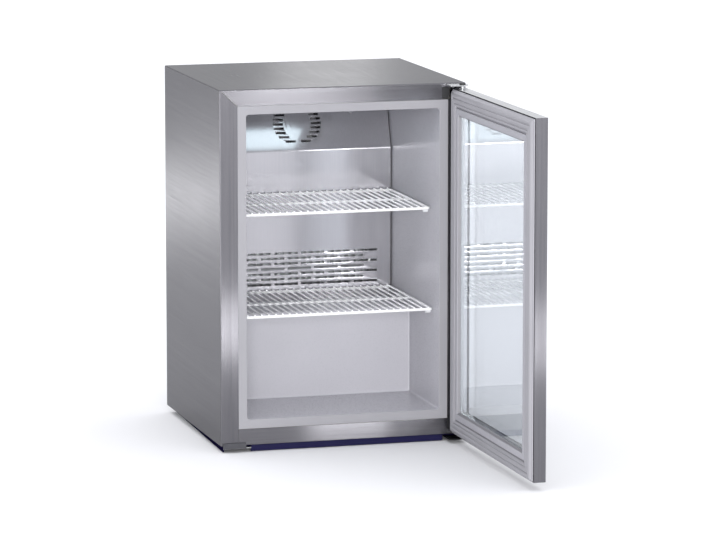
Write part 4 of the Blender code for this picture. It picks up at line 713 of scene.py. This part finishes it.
# %% Gasket
RING_SMOOTH = 50.0     # degrees
GASKET_MARGIN = 0.006
GASKET_DEPTH = -0.0054
profile = [(0.9, 1.1), (1.6, 1.7), (1.5, 1.2), (1.3, 0.7), (1.6, 0.2), (2.2, -0.1), (1.0, -0.6), (0.5, -0.9),
           (0.8, 0.0), (0.5, 0.9), (0.9, 0.6), (1.4, 0.1), (2.4, 0.0), (1.2, -0.2), (0.8, -0.7), (0.4, -0.8),
           (0.8, 0.0), (0.4, 0.8), (0.9, 0.7), (1.3, 0.1), (1.0, -0.3), (0.9, -0.9), (0.7, -1.5), (0.2, -2.1)]
gasket = door_ring(GASKET_MARGIN, profile)
stand_in_door(gasket, GASKET_DEPTH)
settle(gasket, "ribbed_gasket", "door", gasket_grey, RING_SMOOTH)
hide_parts("door_gasket")
print("gasket:", len(gasket.data.polygons), "faces, width", round(sum(step[0] for step in profile), 1), "mm")

# %% [markdown]
# ## The sealant bead
#
# A thin black bead of sealant closes the joint between the steel and the outer pane, on the room side of the
# door. A dark line on the glass would stay flat, while the real bead catches the light. So it is the same
# kind of ring with a small domed profile, turned over to face outwards.

# %% Sealant bead
BEAD_MARGIN = 0.0800
BEAD_DEPTH = -0.0267
bead = door_ring(BEAD_MARGIN, [(0.4, 0.6), (0.8, 0.3), (0.8, -0.4), (0.4, -0.5)])
bead.matrix_world = Matrix.Rotation(math.pi, 4, "X") @ bead.matrix_world
stand_in_door(bead, BEAD_DEPTH)
settle(bead, "glazing_bead", "door", rubber, RING_SMOOTH)
print("bead:", len(bead.data.polygons), "faces")

# %% [markdown]
# ## The glazing wedge
#
# On the cabinet side a wedge of grey rubber is pressed between the inner pane and the moulded frame. It keeps
# the pane from rattling and shows as a darker line round the glass. It could be a second finish on the frame,
# but as a ring of its own it stands a little proud. Its profile rises steeply and leans back on the pane.

# %% Glazing wedge
WEDGE_MARGIN = 0.0824
WEDGE_DEPTH = -0.0082
wedge = door_ring(WEDGE_MARGIN, [(0.2, 4.0), (0.5, 0.6), (0.6, 0.0), (0.6, -1.6), (0.4, -2.6)])
stand_in_door(wedge, WEDGE_DEPTH)
settle(wedge, "glazing_wedge", "door", wedge_grey, RING_SMOOTH)
print("wedge:", len(wedge.data.polygons), "faces")

# %% [markdown]
# ## Round bars
#
# Wires, screws, caps and sleeves all start as a short cylinder. On the real pieces the rims are never sharp,
# so the end faces are chosen and bevelled. One function does this for every size.

# %% Bars with rounded rims
TURN_TO = ((0, math.pi / 2, 0), (math.pi / 2, 0, 0), (0, 0, 0))


def round_bar(axis, radius, length, middle, edge, ends, sides, segments=4):
    """A bar along axis 0, 1 or 2; ends tells which of its end faces (1 or -1) have rounded rims."""
    bpy.ops.object.select_all(action="DESELECT")
    bpy.ops.mesh.primitive_cylinder_add(vertices=sides, radius=radius, depth=length, location=middle,
                                        rotation=TURN_TO[axis])
    bar = bpy.context.object
    apply_place(bar)
    choose(bar, lambda at, way: any(way[axis] * end > STRAIGHT for end in ends))
    bpy.ops.mesh.bevel(offset=edge, segments=segments)
    bpy.ops.object.mode_set(mode="OBJECT")
    return bar


print("turns for bars along x, y and z:", [[round(math.degrees(a)) for a in turn] for turn in TURN_TO])

# %% [markdown]
# ## The wire shelves
#
# Each shelf is a closed rim of thick wire with thin wires welded across it, all dipped in white coating.
# The rim starts as a plane whose corners are bevelled; its edge becomes a curve, and the curve gets a round
# section. One thin wire is made, and an array repeats it, because the real wires are all alike.

# %% Rim of a shelf
RIM = 0.0025
RIM_CORNER = 0.004


def wire_loop(low, high, level, radius, corner):
    """A closed rounded rectangle of round wire."""
    bpy.ops.object.select_all(action="DESELECT")
    bpy.ops.mesh.primitive_plane_add(size=1.0, location=((low.x + high.x) / 2, (low.y + high.y) / 2, level))
    loop = bpy.context.object
    loop.scale = (high.x - low.x - 2 * radius, high.y - low.y - 2 * radius, 1.0)
    apply_place(loop)
    bpy.ops.object.mode_set(mode="EDIT")
    bpy.ops.mesh.select_all(action="SELECT")
    bpy.ops.mesh.bevel(offset=corner, segments=8, affect="VERTICES")
    bpy.ops.mesh.select_all(action="SELECT")
    bpy.ops.mesh.delete(type="ONLY_FACE")
    bpy.ops.object.mode_set(mode="OBJECT")
    bpy.ops.object.convert(target="CURVE")
    loop.data.bevel_depth = radius
    loop.data.bevel_resolution = 3
    bpy.ops.object.convert(target="MESH")
    return bpy.context.object


print("rim wire:", 2 * RIM, "m thick")

# %% Shelves
WIRE = 0.0015
ROD = RIM - 0.0005
WIRES = 27
WIRE_MARGIN = 0.0082      # from the rim's outer edge to the first wire
WIRE_SHORTER = 0.0012     # wires are this much shorter than the rim is deep
WIRE_SIDES = 12
RIM_LIFT = 0.0009         # welding lets the rim and the wires overlap by this
END_SHARE = 0.45          # rounding of a wire's end, as a share of its radius


def wire_shelf(node, name):
    """The rim, one rod from side to side, and the thin wires on top."""
    low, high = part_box(node)
    level = high.z - 2 * WIRE - RIM + RIM_LIFT
    middle = (low + high) / 2
    rim = wire_loop(low, high, level, RIM, RIM_CORNER)
    rod = round_bar(0, ROD, high.x - low.x - 2 * RIM, (middle.x, middle.y, level),
                    ROD * END_SHARE, (1, -1), WIRE_SIDES, segments=2)
    wire = round_bar(1, WIRE, high.y - low.y - WIRE_SHORTER, (low.x + WIRE_MARGIN, middle.y, high.z - WIRE),
                     WIRE * END_SHARE, (1, -1), WIRE_SIDES, segments=2)
    pitch = (high.x - low.x - 2 * WIRE_MARGIN) / (WIRES - 1)
    add_modifier(wire, "ARRAY", count=WIRES, use_relative_offset=False, use_constant_offset=True,
                 constant_offset_displace=(pitch, 0.0, 0.0))
    pick(rod, wire, rim)
    bpy.ops.object.join()
    shelf = settle(bpy.context.object, name, body_of_node[node], white_coat, RING_SMOOTH)
    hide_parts(node)
    print(name, len(shelf.data.polygons), "faces, pitch", round(pitch, 4), "m")


for node, name in (("upper_shelf", "upper_wire_shelf"), ("lower_shelf", "lower_wire_shelf")):
    wire_shelf(node, name)

# %% [markdown]
# ## Screws
#
# Pan-head screws hold the rear panel, the condenser's clips and the compressor. A flat disc would do from
# afar, but the cross catches the light. One head is modelled: a bar with a domed rim, from which two thin
# blocks cut the cross. It is copied to each place, each copy has its own mesh, and each is turned a little
# further, because no one lines up screws.

# %% One screw head
HEAD_RADIUS = 0.0038
HEAD_HEIGHT = 0.0024
HEAD_DOME = 0.0014
CROSS = (0.0042, 0.0008, 0.0026)
CROSS_LEVEL = 0.0026

screw = round_bar(2, HEAD_RADIUS, HEAD_HEIGHT, (0, 0, HEAD_HEIGHT / 2), HEAD_DOME, ends=(1,), sides=24)
for turn in (0.0, math.pi / 2):
    bpy.ops.object.select_all(action="DESELECT")
    bpy.ops.mesh.primitive_cube_add(size=1.0, location=(0, 0, CROSS_LEVEL), rotation=(0, 0, turn))
    blade = bpy.context.object
    blade.scale = CROSS
    apply_place(blade)
    add_modifier(screw, "BOOLEAN", object=blade, operation="DIFFERENCE", solver="EXACT")
    bpy.data.objects.remove(blade)
print("screw head:", len(screw.data.polygons), "faces")

# %% Places of the screws
SCREWS_PER_SIDE = 4
PANEL_INSET_X = 0.008
PANEL_INSET_Z = 0.012
CLIP_THICKNESS = 0.0012
CLIP_SCREW_RISE = 0.010
HANGER_INSET = 0.002
BOLT_RISE = 0.0032     # bolt heads sit this far above the grommets
BACKWARDS = Matrix.Rotation(-math.pi / 2, 4, "X")
panel_low, panel_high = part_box("rear_panel")
hanger_low, hanger_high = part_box("condenser_hanger")
HANGER_Z = (hanger_low.z + hanger_high.z) / 2
HANGER_ENDS = (hanger_low.x + HANGER_INSET, hanger_high.x - HANGER_INSET)

spots = []
for x in (panel_low.x + PANEL_INSET_X, panel_high.x - PANEL_INSET_X):
    for step in range(SCREWS_PER_SIDE):
        reach = step * (panel_high.z - panel_low.z - 2 * PANEL_INSET_Z) / (SCREWS_PER_SIDE - 1)
        z = panel_low.z + PANEL_INSET_Z + reach
        spots.append(((x, panel_high.y, z), BACKWARDS, "rear_screw"))
spots.append(((MIDDLE_X, panel_high.y, panel_high.z - PANEL_INSET_Z), BACKWARDS, "rear_screw"))
for x in HANGER_ENDS:
    for rise in (-CLIP_SCREW_RISE, CLIP_SCREW_RISE):
        spots.append(((x, panel_high.y + CLIP_THICKNESS, HANGER_Z + rise), BACKWARDS, "clip_screw"))
for corner in CORNERS:
    low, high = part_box("grommet_" + corner)
    middle = (low + high) / 2
    spots.append(((middle.x, middle.y, high.z + BOLT_RISE), Matrix.Identity(4), "mounting_bolt"))
print("places for screws:", len(spots))

# %% Copies of the screw
TURN_STEP = 0.7
for index, (spot, facing, name) in enumerate(spots):
    pick(screw)
    bpy.ops.object.duplicate()
    copy = bpy.context.object
    copy.matrix_world = Matrix.Translation(spot) @ facing @ Matrix.Rotation(TURN_STEP * index, 4, "Z")
    settle(copy, f"{name}_{index:02d}", "cabinet", zinc_plate)
bpy.data.objects.remove(screw)
print("screws:", len(spots))

# %% [markdown]
# ## Condenser clips
#
# Two clips hold the condenser's rod to the rear panel. Each is a pressed plate with a short sleeve round the
# rod. A folded strip would be truer, but at this size only the outline shows. So the plate is a block with its
# edges bevelled, and the sleeve is a bar with one rounded rim; joined, they make one piece.

# %% Condenser clips
PLATE = (0.013, CLIP_THICKNESS, 0.032)
PLATE_STANDOFF = 0.0007
PLATE_EDGE = 0.0005
SLEEVE_STANDOFF = 0.0045

for side, x in zip(("left", "right"), HANGER_ENDS):
    bpy.ops.object.select_all(action="DESELECT")
    bpy.ops.mesh.primitive_cube_add(size=1.0, location=(x, panel_high.y + PLATE_STANDOFF, HANGER_Z))
    plate = bpy.context.object
    plate.scale = PLATE
    apply_place(plate)
    add_modifier(plate, "BEVEL", width=PLATE_EDGE, segments=2, limit_method="ANGLE")
    sleeve = round_bar(1, radius=0.0036, length=0.007, middle=(x, panel_high.y + SLEEVE_STANDOFF, HANGER_Z),
                       edge=0.0009, ends=(1,), sides=24)
    pick(sleeve, plate)
    bpy.ops.object.join()
    settle(bpy.context.object, f"condenser_clip_{side}", "cabinet", zinc_plate)
print("clips at x =", [round(x, 4) for x in HANGER_ENDS])

# %% [markdown]
# ## Pin cap and filling stub
#
# A black cap covers the upper hinge pin: a low bar with a domed top. The compressor keeps the stub of the
# tube that it was filled through, pinched flat at its end. Both could be drawn as profiles and turned, but
# bars are at hand already, and scaling the last faces of one flattens it just as pliers do.

# %% Pin cap and filling stub
CAP_LIFT = 0.0014                      # middle of the cap above the bracket
STUB_PLACE = (0.012, 0.062, 0.085)     # from the foot of the compressor's axis
PINCH_FROM = 0.0785                    # the pinch starts this far behind the axis
PINCH = (1.35, 1.0, 0.30)              # wider and flatter

arm_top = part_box("top_hinge_bracket")[1].z
cap = round_bar(2, radius=0.0052, length=0.0032, middle=(PIN.x, PIN.y, arm_top + CAP_LIFT),
                edge=0.0016, ends=(1,), sides=32)
settle(cap, "hinge_pin_cap", "cabinet", black_plastic)

pot_low, pot_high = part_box("compressor")
pot_middle = (pot_low + pot_high) / 2
pot_foot = (pot_middle.x, pot_middle.y, pot_low.z)
stub = round_bar(1, radius=0.0025, length=0.034, middle=[a + b for a, b in zip(pot_foot, STUB_PLACE)],
                 edge=0.0003, ends=(1,), sides=20)
choose(stub, lambda at, way: at.y > pot_middle.y + PINCH_FROM)
bpy.ops.transform.resize(value=PINCH)
bpy.ops.object.mode_set(mode="OBJECT")
settle(stub, "filling_stub", "cabinet", copper)
print("cap:", len(cap.data.polygons), "faces, stub:", len(stub.data.polygons), "faces")

# %% [markdown]
# ## The thermostat's scale
#
# Seven raised dots round the knob are its scale. They could be painted, but raised dots also show in the mesh
# that is kept. Each is a tiny bar with a rounded lower rim, and all are joined to one piece.

# %% Thermostat scale
SCALE_DOTS = 7
SCALE_RADIUS = 0.0182
SCALE_START = -135     # degrees
SCALE_STEP = 45
DOT_SINK = 0.0002

knob_low, knob_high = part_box("thermostat_knob")
knob_middle = (knob_low + knob_high) / 2
panel_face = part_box("control_housing")[0].z
dots = []
for step in range(SCALE_DOTS):
    angle = math.radians(SCALE_START + SCALE_STEP * step)
    spot = (knob_middle.x + SCALE_RADIUS * math.sin(angle), knob_middle.y - SCALE_RADIUS * math.cos(angle),
            panel_face - DOT_SINK)
    dots.append(round_bar(2, radius=0.0009, length=0.0008, middle=spot, edge=0.0003, ends=(-1,), sides=16))
pick(*dots)
bpy.ops.object.join()
settle(bpy.context.object, "thermostat_scale", "cabinet", black_plastic)
print("scale dots:", SCALE_DOTS)

# %% [markdown]
# ## Floor and room
#
# The refrigerator stands on a plain pale floor in a white room. The room could be built of walls, but a
# world that shines from all round is softer. It is darker near the horizon than overhead, which gives
# upright faces some depth.

# %% Floor and world
FLOOR_SIZE = 80.0
# Matt and nearly white, with hardly any shine.
floor_skin = new_finish("pale_studio_floor", Base_Color=hex_colour("#f1f1f2"), Roughness=0.8,
                        Specular_IOR_Level=0.1)[0]
bpy.ops.object.select_all(action="DESELECT")
bpy.ops.mesh.primitive_plane_add(size=FLOOR_SIZE)
floor = bpy.context.object
floor.name = "studio_floor"
floor.data.materials.append(floor_skin)

world = bpy.data.worlds.new("white_room")
bpy.context.scene.world = world
world.use_nodes = True
sky = world.node_tree.nodes["Background"]
sky.inputs["Color"].default_value = hex_colour("#fafbff")
look = add_node(world, "ShaderNodeTexCoord", {}).outputs["Generated"]
height = add_node(world, "ShaderNodeSeparateXYZ", {"Vector": look})
rise = add_node(world, "ShaderNodeMapRange",
                {"Value": height.outputs["Z"], "From Min": 0.05, "From Max": 0.40,
                 "To Min": 0.64, "To Max": 1.40})
join(world, sky, Strength=rise.outputs[0])
bpy.context.scene.view_settings.view_transform = "Standard"
print("floor", FLOOR_SIZE, "m wide, room", world.name)

# %% [markdown]
# ## Lights
#
# A large soft light comes from the upper left. Brushed steel only looks like steel when it has something to
# mirror, so small light cards stand out of the picture where the side, the front and the top reflect them.
# Each card is linked to the steel that it is meant for, so that it leaves no pool of light on the floor.
# Eight tall strips stand round the cabinet and give the steel something to mirror from other sides. The large
# light leaves the steel out, as it would glare.

# %% A light card
def soft_light(name, place, aim, width, height, power, pieces, state="INCLUDE"):
    """A light card that the camera doesn't see; it is kept to some pieces, or keeps off them."""
    bpy.ops.object.light_add(type="AREA", location=place)
    card = bpy.context.object
    card.name = name
    card.data.shape = "RECTANGLE"
    card.data.size = width
    card.data.size_y = height
    card.data.energy = power
    card.rotation_euler = (Vector(aim) - Vector(place)).to_track_quat("-Z", "Y").to_euler()
    card.visible_camera = False
    linked = bpy.data.collections.new(name + "_linked")
    for piece in pieces:
        linked.objects.link(piece)
    for item in linked.collection_objects:
        item.light_linking.link_state = state
    card.light_linking.receiver_collection = linked


rail = bpy.data.objects["front_bottom_rail_finish"]
steel = (wrapper, door_steel, rail)
soft_light("front_softbox", place=(-1.9, -9.0, 1.5), aim=(0, 0, 0.3), width=3.2, height=2.4, power=535.0,
           pieces=steel, state="EXCLUDE")
print("lights:", len(bpy.data.lights))

# %% Light cards
# Name, place, aim, width, height, watts, and the piece that it lights.
CARDS = (("side_strip", (-0.75, 1.9, 0.15), (-0.2, 0.2, 0.4), 1.2, 0.10, 1.4, wrapper),
         ("top_card", (0.85, 3.2, 1.12), (0.0, 0.2, 0.61), 0.25, 0.5, 0.45, wrapper),
         ("bezel_card", (0.44, -2.0, 0.62), (-0.13, 0.0, 0.595), 0.24, 0.14, 2.9, wrapper),
         ("stile_card", (0.06, -0.9, 0.035), (-0.197, 0.0, 0.2), 0.10, 0.12, 0.60, wrapper),
         ("rail_card", (0.115, -0.38, 0.03), (0.01, 0.0, 0.03), 0.14, 0.04, 0.36, rail),
         ("door_card", (0.47, -1.32, 0.085), (0.21, -0.42, 0.235), 0.10, 0.11, 0.35, door_steel))
for *card, piece in CARDS:
    soft_light(*card, (piece,))
print("light cards:", len(CARDS))

# %% Strips all round
STRIP_DISTANCE = 1.4
STRIP_HEIGHT = 0.45
STRIP_DEGREES = (15, 45, 140, 165, 222, 245, 314, 340)
for step, degrees in enumerate(STRIP_DEGREES):
    turn = math.radians(degrees)
    place = (STRIP_DISTANCE * math.cos(turn), STRIP_DISTANCE * math.sin(turn), STRIP_HEIGHT)
    soft_light(f"round_strip_{step}", place, aim=(0, 0, 0.4), width=0.32, height=0.9, power=2.1, pieces=steel)
print("strips:", len(STRIP_DEGREES))
